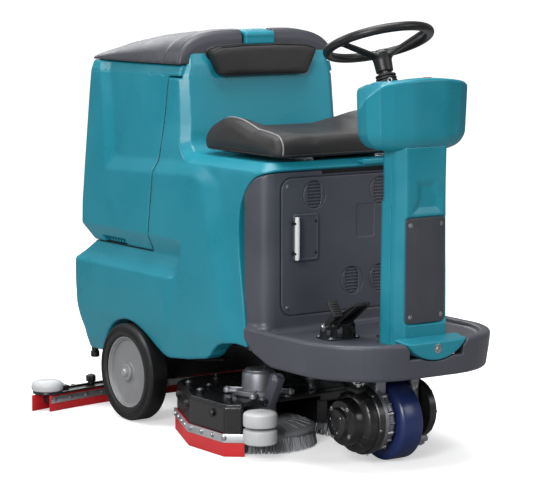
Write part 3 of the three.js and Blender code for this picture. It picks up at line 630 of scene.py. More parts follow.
def half_width(y, z):
    """Half width of the machine's flank at a place seen from the side."""
    core = lerp(z, [170, 226, 320, 540, 790, 1062, 1068, 1096], [284, 297, 304, 300, 298, 293, 292, 283])
    core = core - 13 * np.clip((-40 - y) / 180, 0, 1) * np.clip((z - 800) / 120, 0, 1)
    # The proud panel: under a sloping shoulder line, behind a long front chamfer, and down the rear edge.
    shoulder = lerp(y, [-600, -392, -124, 132, 300], [790, 782, 771, 763, 760])
    front = lerp(z, [300, 400, 640, 790, 860], [-520, -486, -418, -376, -356])
    rear = lerp(z, [740, 790, 972, 1096], [150, 156, 170, 196])
    above = np.minimum(z - shoulder, (rear - y) * 1.0)
    ahead = (front - y) * F(0.5)
    r = F(34)
    corner = np.hypot(np.maximum(above + r, 0), np.maximum(ahead + r, 0)) - r
    corner = np.where(np.maximum(above, ahead) < -r, np.maximum(above, ahead), corner)
    proud = 15 - clamp(corner * F(0.38), 15, 3.0)
    # The waist under the recovery tank, and the bulge over the rear wheel.
    fade = np.clip((y + 262 + (z - 470) * 0.25) / 42, 0, 1)
    fade = fade * fade * (3 - 2 * fade)
    waist = np.where(z > SEAM_Z, clamp((582 - z) * F(0.52), 30, 3), clamp((z - 466) * F(0.5), 30, 3))
    bulge = 9 * np.clip((494 - z) / 30, 0, 1) * np.clip((z - 240) / 160, 0, 1)
    return (core + proud - (waist - bulge) * fade).astype(F)


def rear_face(z):
    """Lengthwise place of the machine's back at a height."""
    heights = [170, 190, 242, 290, 330, 470, 524, 531, 580, 650, 810, 1000, 1095]
    return lerp(z, heights, [284, 287, 302, 326, 334, 338, 274, 276, 312, 310, 290, 268, 254])


# Front of the body seen from the side: the seat back and deck, then the edge that meets the wall.
perch_line = fillet(
    [
        (600, 100), (-800, 100), (-800, DECK_Z), (-262, DECK_Z, 54), (-237, 1096, 60), (-224, 1150, 6),
        (-171, 1150), (-171, 1148), (600, 1148)
    ],
    6
)
wall_points = [
    (-607, 300), (-590, 420), (-568, 540), (-560, 630), (-563, 692), (-576, 730), (-596, 761), (-620, 784),
    (-646, 800), (-676, 812)
]
WALL_EDGE = [(p[1], p[2]) for p in spline([(0, y, z) for y, z in wall_points], 4)]
front_line = fillet([(600, 100), (-606, 100)] + WALL_EDGE + [(-692, 820, 6), (-692, 1300), (600, 1300)], 6)
seat_back = fillet(
    mirror(
        [
            (420, 0), (420, 780), (292, 880, 60), (284, 1062, 60), (266, 1106, 50), (234, 1134, 50),
            (192, 1147, 60), (90, 1150, 200)
        ]
    ),
    6
)
underside = (
    (-610, 307), (-558, 313), (-504, 306), (-477, 297), (-450, 278), (-434, 260), (-410, 248), (-312, 232),
    (-207, 221), (0, 219), (1, 186), (600, 186)
)


def flank_opening(y, z):
    """The open space under the body seen from the side, with the wheel arch."""
    ys, zs = zip(*underside)
    below = (z - lerp(y, ys, zs)) * F(0.8)
    arch = disc(y, z, *ARCH_AT, WHEEL_ARCH)
    return np.where(y < 20, runi(arch, below, 74.0), runi(arch, below, 12.0)).astype(F)


def outside(x, y, z):
    """Everything the body and the recovery tank share: flanks and rear."""
    side = (np.abs(x) - half_width(y, z)) * F(0.96)
    back = (y - rear_face(z)) * F(0.97)
    return rint(side, back, 26.0)


def tank_line(y, z):
    """Signed distance past the seam between tank and seat back: negative in the tank."""
    seam = lerp(z, [531, 772, 806, 1056], [-86, -118, -130, -166])
    step = -225 + 0 * z
    d = (seam - y) * F(0.99)
    return np.where(z > 1060, np.minimum(d, step - y), d)


def body_field(x, y, z):
    """Solution tank, seat deck and seat back in one moulding."""
    shape = outside(x, y, z)
    shape = rint(shape, F(-692) - y, 58.0)
    shape = cint(shape, poly(perch_line, y, z), 25.0)
    shape = rint(shape, poly(front_line, y, z), 4.0)
    shape = rint(shape, poly(seat_back, x, z) - np.clip((y + 236) * F(0.3), 0, 24), 5.0)
    shape = rint(shape, -flank_opening(y, z), 5.0)
    # Room for the recovery tank, its strip along the seat back, and the lid.
    behind = (y - lerp(z, [527, 772, 806, 1060], [-90, -122, -134, -170])) * F(0.99)
    tank_room = rint(-behind, F(SEAM_Z) - z, 14.0)
    shape = rcut(shape, tank_room, 3.0)
    notch = np.maximum(np.maximum(F(1057) - z, F(-222) - y), 247 - np.abs(x))
    shape = rcut(shape, notch, 3.0)
    lid_room = np.maximum(F(-221.5) - y, F(1090) - z)
    shape = np.maximum(shape, -lid_room)
    # Head-rest pocket with its sloping border.
    pocket = poly(pocket_line, x, z)
    pocket = np.maximum((pocket + np.maximum(y + 250, -14) * F(1.9)) * F(0.46), y + F(228.3))
    shape = rcut(shape, pocket, 5.0)
    # Battery bay, the space over the axle, and the channel for the vacuum hose.
    bay = block(x, y, z, -262, 262, -760, -178, -50, 690, 12)
    axle = block(x, y, z, -262, 262, -205, 240, -50, 287.5, 8)
    hose = block(x, y, z, -58, 92, 236, 420, -50, 466, 34)
    shape = rcut(np.maximum(shape, -bay), hose, 9.0)
    return np.maximum(shape, -axle)


pocket_line = fillet([(-184, 1046, 26), (184, 1046, 26), (224, 1190, 4), (-224, 1190, 4)], 5)

body_part = surface(body_field, (-325, -694, 168), (325, 342, 1154), 4.6)
shell("body_shell", body_part, teal, "chassis", ["solution_tank"])


def tank_field(x, y, z):
    """Recovery tank with its basin, motor room and grips."""
    shape = outside(x, y, z)
    ahead = tank_line(y, z)
    shape = rint(shape, ahead, 5.0)
    shape = rint(shape, F(SEAM_Z + 3.5) - z, 5.0)
    shape = rint(shape, z - F(LID_Z - 1.5), 4.0)
    # The tank reaches forward in a strip on each flank; between the strips the seat back stands alone.
    middle = np.maximum(np.abs(x) - 251, y + 168 + 0 * z)
    shape = np.maximum(shape, -middle)
    grip = block(np.abs(x), y, z, 268, 330, 62, 196, 520, 549, 5)
    shape = rcut(shape, grip, 3.0)
    ridge = (np.abs(z - 1064) - 1.2)
    groove = np.maximum(ridge, -(shape + 1.6)) + 0 * x
    shape = np.maximum(shape, -groove)
    basin = block(x, y, z, -250, 60, -110, 200, 620, 1300, 16)
    motor = np.maximum(disc(x, y, 165, 60, 82), F(900) - z)
    drain = block(x, y, z, 90, 250, -110, 30, 900, 1300, 12)
    shape = rcut(shape, basin, 4.0)
    return np.maximum(shape, -np.minimum(motor, drain))


def seam_y(z):
    """Lengthwise place of the gap between tank and body."""
    return lerp(z, [531, 772, 806, 1056], [-88, -120, -132, -168])


# A near-black cord sunk in the gap between the tank and the body: painted shade in the gap.
gap_line = [(seam_y(z), z) for z in np.linspace(1052, 545, 34)]
gap_line += [(y, SEAM_Z - 0.4) for y in np.linspace(-74, 236, 22)]
gap_shade_cord = [
    (-(float(half_width(np.array([y], F), np.array([z], F))[0]) - 4.6), float(y), float(z))
    for y, z in gap_line
]
for side, s in SIDES:
    piece(f"tank_gap_painted_shade_{side}", onside(tube(gap_shade_cord, 3.2, 8), s), painted_shade_and_switch_black, "chassis")
tank_part = surface(tank_field, (-318, -250, 528), (318, 316, 1097), 4.6)
shell("tank_shell", tank_part, teal, "tank", ["recovery_tank"])
for side, s in SIDES:
    grips = [plate(rounded(76 + k * 16, 84 + k * 16, 533.5, 545), "x", -276, -268, 1)
             for k in range(7)]
    piece(f"tank_grip_ribs_{side}", onside(joined(*grips), s), teal, "tank")


# ---------------------------------------------------------------- lid
def lid_half(y):
    """Half width of the lid."""
    return lerp(y, [-240, -200, -120, -40, 120, 240, 270], [283, 287, 296, 301, 303, 300, 296])


def lid_crest(y):
    """Height of the lid along its middle."""
    return lerp(
        y, [-240, -215, -180, -100, 0, 120, 220, 270], [1184, 1191, 1194, 1191, 1182, 1161, 1134, 1117]
    )


def lid_field(x, y, z, inset=0.0):
    """The lid's dome, or its inside when inset."""
    w = lid_half(y)
    t = np.clip(np.abs(x) / w, 0, 1.2)
    top = LID_Z + (lid_crest(y) - LID_Z) * np.sqrt(np.maximum(1 - t**4.2, 0))
    roof = (z - top) * F(0.62)
    side = np.abs(x) - w + inset
    shape = rint(side, roof + inset * 0.8, 10.0)
    shape = rint(shape, y - 262 + inset, 22.0)
    nose = (-226 - y) * 0.93 + (z - 1130) * F(0.02)
    shape = rint(shape, nose + inset, 13.0)
    # A band along the front edge stands a little proud of the rest.
    band = clamp((-168 - y + (np.abs(x) - 150) * 0.12) * F(0.35), 3.0, 1.0)
    return shape - band * (1 if inset == 0 else 0)


def lid_outer(x, y, z):
    """Lid with its hollow, the latch's room and two pressed lines."""
    outer = lid_field(x, y, z)
    inner = np.maximum(lid_field(x, y, z, 9.0), z - 1300)
    shape = rint(np.maximum(outer, -inner), F(LID_Z + 1.0) - z, 2.0)
    latch_room = rrect(x, y, -57, 57, -300, -166, 6)
    latch_room = np.maximum(latch_room, np.where(y < -221, F(1146), lid_crest(y) - F(12)) - z)
    # Two long pressed lines run back along the roof.
    line = np.abs(np.abs(x) - (150 + (y + 160) * 0.06)) - 3.2
    line = np.maximum(np.maximum(line, -(outer + 1.8)), np.maximum(-130 - y, y - 225))
    return rcut(rcut(shape, latch_room, 3.0), line, 1.5)


lid_part = surface(lid_outer, (-308, -240, LID_Z), (308, 268, 1200), 3.8)
shell("lid_shell", lid_part, dark_grey, "lid", ["tank_lid"])


def latch_field(x, y, z):
    """Latch cover folded over the lid's nose."""
    crest = lid_crest(y) + 2.0
    top = (z - crest) * F(0.9)
    shape = rint(slab(x, -53, 53) + 0 * y, top, 7.0)
    shape = rint(shape, slab(y, -240, -169) + 0 * z, 6.0)
    nose = rint(slab(x, -53, 53) + 0 * y, np.maximum(slab(y, -240, -223) + 0 * z, top), 5.0)
    nose = rint(nose, F(1152) - z, 4.0)
    return runi(rint(shape, crest - 13 - z, 4.0), nose, 3.0)


shell(
    "latch_cover", surface(latch_field, (-56, -242, 1149), (56, -166, 1200), 2.4), teal, "latch",
    ["lid_latch"]
)
hinge_bits = [lathe(bar_profile(5, 0, 60), 16, (x, 264.5, LID_Z + 1), (1, 0, 0)) for x in (-190, 130)]
hinge_bits += [rbox(x, x + 50, 258, 268, 1060, 1092, 1.5) for x in (-185, 135)]
piece("lid_hinge_pins", joined(*hinge_bits), zinc, "tank")

# ---------------------------------------------------------------- platform and the wall under the seat
plat = span("platform_shroud")
PLAT_HALF = 309.0
plan_line = fillet(
    [
        (-PLAT_HALF - 3, -560), (-PLAT_HALF + 2, plat[2], 226), (PLAT_HALF - 2, plat[2], 226),
        (PLAT_HALF + 3, -560)
    ],
    14
)
wall_line = fillet(
    [(-603, 250), (-609, 296)] + [(y - 2.5, z - 1.5) for y, z in WALL_EDGE] + [(-740, 811), (-740, 250)], 5
)
RIM_W = 34.0


def platform_field(x, y, z):
    """Step-through platform joined to the wall under the seat."""
    edge = poly(plan_line, x, y)
    edge = np.maximum(edge, y + 604)
    draft = clamp((352 - z) * F(0.16), 16, 8)
    outer = rint(edge + draft, z - 366, 10.0)
    # The underside rises towards the rear corners.
    low = 264 + np.clip((y + 735) / 120, 0, 1) ** 2 * 62
    outer = rint(outer, (low - z) * F(0.9), 9.0)
    # Three low ribs run round the floor of the tub.
    rib = np.clip(1 - np.abs(np.mod(-edge - 58, 15.0) - 7.5) / 3.0, 0, 1)
    floor = 352.5 + 1.3 * rib * np.clip((-edge - 50) / 4, 0, 1) * np.clip((96 + edge) / 4, 0, 1)
    tub = rint(edge + RIM_W, floor - z, 11.0)
    outer = rcut(outer, tub, 8.0)
    wall = wall_body(x, y, z)
    shape = runi(outer, wall, 20.0)
    hollow = np.maximum(np.maximum(edge + 26, z - 339), -30 - z)
    shape = np.maximum(shape, -hollow)
    seat = np.maximum(np.maximum(np.abs(x) - 94, -y - 1300), np.maximum(y + 933, 322 - z))
    shape = np.maximum(shape, -rint(seat, -1200 - y, 1.0))
    apron = np.maximum(disc(x, z, 0, 447.5, 137), y + 1040)
    shape = rcut(shape, apron, 2.0)
    return np.maximum(shape, -np.maximum(disc(x, y, 0, -884, 40), z - 420))


def wall_body(x, y, z):
    """Wall under the seat with the panel's pocket."""
    side = rint(np.abs(x) - 297, F(-679.5) - y, 46.0)
    front = poly(wall_line, y, z)
    shape = rint(side, front, 3.0)
    inner = rint(np.abs(x) - 259, F(-651) - y, 20.0)
    inner = np.maximum(inner, -(y + 700))
    shape = np.maximum(shape, -np.maximum(inner, F(320) - z))
    shape = np.maximum(shape, 300 - z)
    pocket = np.maximum(rrect(x, z, -235.5, 235.5, 398.5, 795.5, 38), y + F(675.5))
    shape = rcut(shape, pocket, 2.5)
    slot = np.maximum(np.maximum(np.abs(x - 40) - 128, np.abs(z - 808) - 9), y + 668)
    return rcut(shape, slot, 2.0)


shroud_part = surface(platform_field, (-314, plat[2] - 1, 262), (314, -600, 814), 4.2)
shell("platform_shell", shroud_part, grey, "chassis", ["platform_shroud"])

VENTS = ((-118, 742), (118, 742), (16, 486), (118, 486))


def panel_field(x, y, z):
    """Access panel with four vents."""
    shape = rint(rrect(x, z, -232, 232, 402, 792, 35), slab(y, -681.5, -676.2), 2.2)
    for cx, cz in VENTS:
        ring_d = np.abs(disc(x, z, cx, cz, 39)) - 1.2
        shape = rcut(shape, np.maximum(ring_d, y + 679.6), 0.8)
        shape = rcut(shape, rrect(x, z, cx - 23, cx + 23, cz - 38, cz + 38, 20) + 0 * y, 1.0)
    # Shallow pocket beside the column.
    pocket = np.maximum(rrect(x, z, 32, 96, 610, 706, 7), y + 679.4)
    shape = rcut(shape, pocket, 1.0)
    return shape


panel_part = surface(panel_field, (-233, -683, 400), (233, -675, 793), 2.0, 1)
shell("access_panel_shell", panel_part, grey, "chassis", ["access_panel"])
corner_bolts = [bolt((x, -681.4, z), (0, -1, 0), 3.8) for x in (-212, 212) for z in (424, 770)]
piece("access_panel_bolts", joined(*corner_bolts), zinc, "chassis")
# Near-black plates behind the vent slats: painted shade inside the vents.
vent_shade_plates = [plate(rounded(cx - 30, cx + 30, cz - 42, cz + 42, 6), "y", -675.4, -672, 0.8)
         for cx, cz in VENTS]
piece("vent_painted_shade_plates", joined(*vent_shade_plates), painted_shade_and_switch_black, "chassis")
slats = []
for cx, cz in VENTS:
    for k in range(8):
        dz = (k - 3.5) * 9.4
        reach = 23.6 - (20 - math.sqrt(400 - max(abs(dz) - 18, 0) ** 2))
        slats.append(rbox(cx - reach, cx + reach, -681.0, -676.8, cz + dz - 1.7, cz + dz + 1.7, 0.9))
piece("vent_slats", joined(*slats), grey, "chassis")
# Near-black plate behind the wall's slot: painted shade inside it.
piece(
    "wall_slot_painted_shade", rbox(-87, 167, -671.0, -666, 799.8, 810.5, 0.8), painted_shade_and_switch_black, "chassis",
)

# ---------------------------------------------------------------- service hatch
hx0, hx1, hy0, hy1, hz0, hz1 = span("hatch_cover")


def hatch_field(x, y, z):
    """Small door in the access panel."""
    shape = rint(rrect(x, z, hx0, hx1, hz0, hz1, 8), slab(y, hy0, hy1), 2.4)
    step = np.maximum(rrect(x, z, hx0 + 12, hx1 - 6, hz0 + 6, hz1 - 6, 6), y - hy0 - 1.2)
    return rcut(shape, step, 0.8)


shell("hatch_shell", surface(hatch_field, (hx0, hy0, hz0), (hx1, hy1, hz1), 1.8), grey, "service_hatch",
      ["hatch_cover"])
hatch_screws = [screw((hx1 - 10, hy0 + 1, z), (0, -1, 0), 4.2) for z in (hz0 + 22, hz1 - 22)]
piece("hatch_screws", joined(*hatch_screws), black, "service_hatch")
gx = -194
grip_path = [(gx, hy0 - 15, z) for z in np.linspace(562, 684, 9)]
grip = tube(grip_path, [6.2, 7.2] + [7.4] * 5 + [7.2, 6.2], 18)
piece("hatch_grip", grip, white, "service_hatch", ["hatch_handle"])
clips = [
    joined(
        rbox(gx - 8, gx + 8, hy0 - 19, hy0 + 0.5, z - 3.5, z + 3.5, 1.5),
        rbox(gx - 8, gx + 11, hy0 - 4, hy0 + 0.5, z - 6, z + 6, 1.2)
    )
    for z in (580, 666)
]
piece("hatch_grip_clips", joined(*clips), black, "service_hatch")

# ---------------------------------------------------------------- steering column
COL_Z0 = 338.0
COL_Z1 = span("column_rear_cover")[5]


def taper(z):
    """The column narrows upwards and widens again at the console."""
    return lerp(z, [338, 560, 740, 800, 884], [1.0, 0.97, 0.935, 0.935, 0.955])


front_plan = fillet(
    [(-92, -995.6), (-92, -1014, 8), (-72, -1043.5, 8), (72, -1043.5, 8), (92, -1014, 8), (92, -995.6)], 4
)
front_inner = fillet(
    [(-80, -990), (-80, -1008, 6), (-64, -1030, 6), (64, -1030, 6), (80, -1008, 6), (80, -990)], 4
)


def column_front_field(x, y, z):
    """Front cover of the column."""
    k = taper(z)
    shape = poly(front_plan, x / k, y)
    shape = np.maximum(shape, -poly(front_inner, x / k, y))
    shape = rint(shape, slab(z, COL_Z0, COL_Z1 + 16), 1.5)
    # Seat of the service panel and the dished face over it.
    seat = np.maximum(rrect(x, z, -72.5, 72.5, 407.5, 706.5, 13), y + F(1037.5))
    shape = rcut(shape, seat, 2.0)
    dish = poly(dish_line, x, z)
    dish = np.maximum((dish + (y + 1046) * 2.6) * 0.36, y + 1037)
    shape = rcut(shape, dish, 2.5)
    back = np.maximum(rrect(x, z, -90, 90, 402, 834, 13), slab(y, -1034.5, -1026))
    inside = poly(front_plan, x / k, y)
    return np.minimum(shape, rint(back, inside + 2.0, 1.0))


dish_line = fillet(
    [(-62, 708, 6), (62, 708, 6), (50, 760, 12), (38, 812, 8), (-38, 812, 8), (-50, 760, 12)], 4
)
column_part = surface(column_front_field, (-94, -1045, 336), (94, -994, 902), 3.0)
shell("column_front_shell", column_part, teal, "chassis", ["column_front_cover"])


def apron_field(x, y, z):
    """Half-round foot of the column."""
    bow = F(plat[2] + 1) + np.maximum(np.abs(x) - 70, 0) ** 2 / 560
    shape = disc(x, z, 0, 447.5, 134)
    shape = rint(shape, bow - y, 7.0)
    shape = rint(shape, z - 367 - clamp((y + 1085) * 0.18, 8, 3), 6.0)
    shape = rint(shape, y + 1043.5, 2.0)
    return np.maximum(shape, -np.maximum(np.maximum(np.abs(x) - 66, z - 322), -y - 1090))


shell("column_apron", surface(apron_field, (-119, plat[2] - 1, 306), (119, -1042, 378), 2.8), teal, "chassis")
piece("apron_bolt", bolt((0, plat[2] + 1.2, 346), (0, -1, 0), 7.5), zinc, "chassis")

rear_plan = fillet(
    [(-92, -994.6), (-92, -957, 8), (-79, -936, 8), (79, -936, 8), (92, -957, 8), (92, -994.6)], 4
)
rear_inner = fillet(
    [(-80, -999), (-80, -961, 5), (-70, -948, 5), (70, -948, 5), (80, -961, 5), (80, -999)], 4
)


def column_rear_field(x, y, z):
    """Rear cover of the column."""
    k = taper(z)
    step = clamp((z - 742) * 0.9, 8, 2)
    shape = poly(rear_plan, x / k, y + step)
    shape = np.maximum(shape, -poly(rear_inner, x / k, y + step))
    shape = np.maximum(shape, -996 - y)
    return rint(shape, slab(z, COL_Z0, COL_Z1 + 16), 1.5)


shell(
    "column_rear_shell", surface(column_rear_field, (-94, -998, 336), (94, -934, 902), 3.0), teal,
    "chassis", ["column_rear_cover"]
)


def column_panel_field(x, y, z):
    """Panel set into the column's front."""
    face = -1044.5 + clamp((np.abs(x) - 34) * 0.16, 6, 2)
    shape = rint(rrect(x, z, -69.5, 69.5, 410.5, 703.5, 12), face - y, 2.4)
    return rint(shape, y + F(1036.2), 1.0)


shell("column_panel_shell", surface(column_panel_field, (-71, -1047, 409), (71, -1035, 705), 2.2), dark_grey,
      "chassis", ["column_panel"])
panel_bolts = [bolt((x, -1041.2, z), (x / 420, -1, 0), 3.8) for x in (-54, 54) for z in (430, 684)]
piece("column_panel_bolts", joined(*panel_bolts), zinc, "chassis")

# ---------------------------------------------------------------- console
console = span("console_housing")
crown_plan = fillet(
    mirror(
        [
            (66, console[3], 30), (114, -870, 20), (148, -924, 16), (172, -988, 10), (154, -1029, 6),
            (118, -1046, 8), (60, console[2], 160)
        ]
    ),
    5
)


def console_field(x, y, z):
    """Console head with its dash recess and boot seat."""
    k = lerp(z, [880, 930, 990, 1090], [0.93, 0.955, 0.975, 1.0])
    shape = poly(crown_plan, x / k, -950 + (y + 950) / (0.5 + 0.5 * k))
    bottom = COL_Z1 + 1.4 + clamp((np.abs(x) - 96) * 0.16, 12, 6)
    shape = rint(shape, (bottom - z) * F(0.98), 44.0)
    flank = np.clip((np.abs(x) - 106) / 34, 0, 1)
    flank = flank * flank * (3 - 2 * flank)
    crown = 1086 - x**2 / 1500 - np.maximum(y + 950, 0) * F(0.3) * (1 - flank)
    crown = crown - np.maximum(y + 1034, 0) * F(0.66) * flank
    shape = rint(shape, (z - crown) * F(0.97), 7.0)
    dash = rint(rrect(x, y, -107, 107, -1013, -913, 10), F(1053) - z, 3.0)
    shape = rcut(shape, dash, 3.0)
    # Seat of the steering boot.
    t = np.clip(((y + 876) * 34 + (z - 1026) * 93.4) / (34**2 + 93.4**2), -1, 3)
    axis = np.hypot(np.hypot(x + 0 * y, y + 876 - 34 * t), z - 1026 - 93.4 * t)
    boot = np.maximum(axis - 34, F(1026) - z)
    return rcut(shape, boot, 3.0)


console_part = surface(console_field, (-191, console[2] - 2, 883), (191, console[3] + 2, 1088), 3.2)
shell("console_shell", console_part, teal, "chassis", ["console_housing"])


# ---------------------------------------------------------------- cushions
def padded(name, field, lo, hi, cap, pressure, material, body, replaces):
    """A cushion filled by cloth simulation, its swelling capped, then smoothed. Gives back its skin."""
    part = surface(field, lo, hi, 5.0, 1)
    ob = piece(name, part, material, body, replaces, sharp=0)
    ob.parent = None
    before = np.empty(len(ob.data.vertices) * 3, F)
    ob.data.vertices.foreach_get("co", before)
    cloth = ob.modifiers.new("fill", "CLOTH")
    cloth.settings.use_pressure = True
    cloth.settings.uniform_pressure_force = pressure
    cloth.settings.quality = 4
    cloth.settings.effector_weights.gravity = 0
    cloth.settings.tension_stiffness = 25
    cloth.settings.compression_stiffness = 25
    cloth.settings.bending_stiffness = 4
    scene = bpy.context.scene
    for k in range(1, 15):
        scene.frame_set(k)
    dg = bpy.context.evaluated_depsgraph_get()
    after = np.empty_like(before)
    ob.evaluated_get(dg).to_mesh().vertices.foreach_get("co", after)
    ob.modifiers.remove(cloth)
    scene.frame_set(1)
    a, b = before.reshape(-1, 3), after.reshape(-1, 3)
    step = b - a
    length = np.maximum(np.linalg.norm(step, axis=1, keepdims=True), 1e-9)
    limit = cap * 0.001 * np.clip(1 - (row([[0, 0, lo[2] + 12]])[0, 2] - a[:, 2:3]) / 0.012, 0, 1)
    b = a + step / length * np.minimum(length, limit)
    ob.data.vertices.foreach_set("co", b.astype(F).ravel())
    bm = bmesh.new()
    bm.from_mesh(ob.data)
    for _ in range(2):
        bmesh.ops.smooth_vert(
            bm, verts=bm.verts[:], factor=0.4, use_axis_x=True, use_axis_y=True, use_axis_z=True
        )
    bm.to_mesh(ob.data)
    bm.free()
    skin = BVHTree.FromPolygons(
        [v.co.copy() for v in ob.data.vertices], [tuple(p.vertices) for p in ob.data.polygons]
    )
    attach(ob, body)
    return skin


seat_side = fillet(
    [
        (-688, 853, 8), (-692, 884, 20), (-668, 908, 26), (-560, 922, 90), (-470, 946, 60), (-412, 950, 40),
        (-346, 924, 60), (-300, 884, 26), (-297, 864, 12), (-318, 853, 6)
    ],
    6
)
seat_plan = fillet([(-250, -688, 34), (250, -688, 34), (250, -300, 26), (-250, -300, 26)], 6)


def seat_field(x, y, z):
    """Seat cushion: a dished middle between two bolsters."""
    shape = rint(poly(seat_side, y, z), poly(seat_plan, x, y), 12.0)
    # The dished middle is lower than the bolsters, and both run out towards the front edge.
    floor = lerp(y, [-700, -670, -560, -420, -340, -300], [896, 905, 902, 906, 912, 880])
    bowl = lerp(np.abs(x), [0, 118, 140, 178, 214, 240], [0, 0, 5, 22, 48, 60])
    return rint(shape, (z - floor - bowl) * F(0.9), 7.0)


seat_skin = padded(
    "seat_pad", seat_field, (-254, -694, 850), (254, -294, 954), 5.0, 3.0, vinyl, "seat", ["seat_cushion"],
)


def dropped(skin, points, direction, lift):
    """Points moved along a direction until they lie on a cushion's finished skin."""
    out = []
    for p in points:
        hit = skin.ray_cast(Vector(row([p])[0]), Vector(direction))
        if hit[0] is not None:
            q = hit[0] * 1000 - Vector(direction) * lift
            out.append((q.x, q.y - AXLE_Y * 1000, q.z))
    return out


# Piping along the top of each bolster and down its front corner, laid on the filled cushion. Its light grey
# is a painted highlight along the bolster's crease.
for side, s in SIDES:
    top = dropped(seat_skin, [(-226, y, 1000) for y in np.linspace(-346, -668, 34)], (0, 0, -1), 0.6)
    down = dropped(seat_skin, [(-228, -800, z) for z in np.linspace(900, 860, 7)], (0, 1, 0), 0.6)
    piping_with_highlight = tube(spline(top[::2] + down, 3), 2.4, 8)
    piece(f"seat_piping_painted_highlight_{side}", onside(piping_with_highlight, s), mid_grey, "seat")
rim = [
    (x, y, 857)
    for x, y in fillet([(-246, -684, 42), (246, -684, 42), (245, -301, 58), (-245, -301, 58)], 8)
]
piece("seat_base_welt", tube(rim, 3.2, 8, closed=True), rubber, "seat")


def seat_pan_field(x, y, z):
    """Thin pan under the cushion."""
    base = fillet([(-226, -672, 40), (226, -672, 40), (224, -330, 60), (-224, -330, 60)], 4)
    return rint(poly(base, x, y), slab(z, 848.6, 855), 2.0)


shell(
    "seat_pan", surface(seat_pan_field, (-228, -674, 848), (228, -326, 856), 3.5, 1), black, "seat",
)
RAIL_X = 126
rails = []
for x in (-RAIL_X, RAIL_X):
    rails.append(rbox(x - 16, x + 16, -664, -336, DECK_Z + 0.4, DECK_Z + 3.4, 1))
    rails.append(rbox(x - 16, x - 11, -664, -336, DECK_Z + 2, 847, 1.2))
    rails.append(rbox(x + 11, x + 16, -664, -336, DECK_Z + 2, 847, 1.2))
    rails += [bolt((x, y, DECK_Z + 3), (0, 0, 1), 4.5) for y in (-640, -500, -360)]
rails.append(rbox(-114, 114, -540, -522, DECK_Z + 1, DECK_Z + 5, 1.5))
piece("seat_runners", joined(*rails), zinc, "chassis")
catch = joined(rbox(40, 168, -700, -640, 826, 834, 2.5), rbox(40, 168, -703, -697, 822, 836, 2))
piece("seat_front_catch", catch, teal, "chassis")
slides = [rbox(x - 9.5, x + 9.5, -660, -340, DECK_Z + 4.4, 849, 2) for x in (-RAIL_X, RAIL_X)]
slides.append(rbox(-132, 132, -536, -504, 843, 849, 1.5))
piece("seat_slides", joined(*slides), steel, "seat", ["seat_slide"])
lever = tube(
    spline([(160, -640, 845), (160, -690, 845), (166, -712, 845), (206, -746, 843), (238, -772, 841)], 6),
    3.6, 12
)
handle_dir = Vector((38, -33, -2)).normalized()
handle = lathe(
    [(0, 0), (5.5, 1), (7.2, 5), (7.6, 26), (7.2, 60), (5.4, 66), (0, 68)], 20, (186, -730, 844), handle_dir
)
piece("seat_lever_rod", lever, zinc, "slide_lever", ["seat_lever"])
piece("seat_lever_grip", handle, black, "slide_lever")

pad_line = fillet(
    [
        (-156, 1061, 14), (156, 1061, 14), (194, 1136, 12), (156, 1147, 60), (60, 1152, 200),
        (-60, 1152, 200), (-156, 1147, 60), (-194, 1136, 12)
    ],
    6
)


def back_pad_field(x, y, z):
    """Head-rest cushion."""
    face = poly(pad_line, x, z)
    return rint(rint(face, F(-266) - y, 9.0), y + F(230.5), 3.0)


padded(
    "back_pad", back_pad_field, (-198, -268, 1057), (198, -228, 1155), 3.0, 2.5, vinyl, "chassis",
    ["back_cushion"]
)


def welt(inset, y, r):
    """Cord round the head-rest cushion."""
    c = np.array([0.0, 1106.0])
    points = []
    for u, v in pad_line:
        d = np.array([u, v]) - c
        points.append((c[0] + d[0] * inset, y, c[1] + d[1] * inset))
    return tube(points, r, 8, closed=True)


piece(
    "back_pad_welts", joined(welt(1.005, -231.5, 3.0), welt(0.985, -262.5, 1.7)), rubber, "chassis",
)


# ---------------------------------------------------------------- rear wheels
def tyre_profile(inner, outer, half, shoulder, groove_at=()):
    """Closed section of a solid tyre: flat tread, round shoulders and ribs moulded in its walls."""
    wall = [
        (outer, half - shoulder), (outer - 0.3 * shoulder, half - 0.35 * shoulder), (outer - shoulder, half)
    ]
    for g in groove_at:
        wall += [(g + 2.2, half), (g + 1.6, half - 1.8), (g - 1.6, half - 1.8), (g - 2.2, half)]
    wall += [(inner + 4, half), (inner, half - 4)]
    return wall + [(r, -h) for r, h in reversed(wall)]


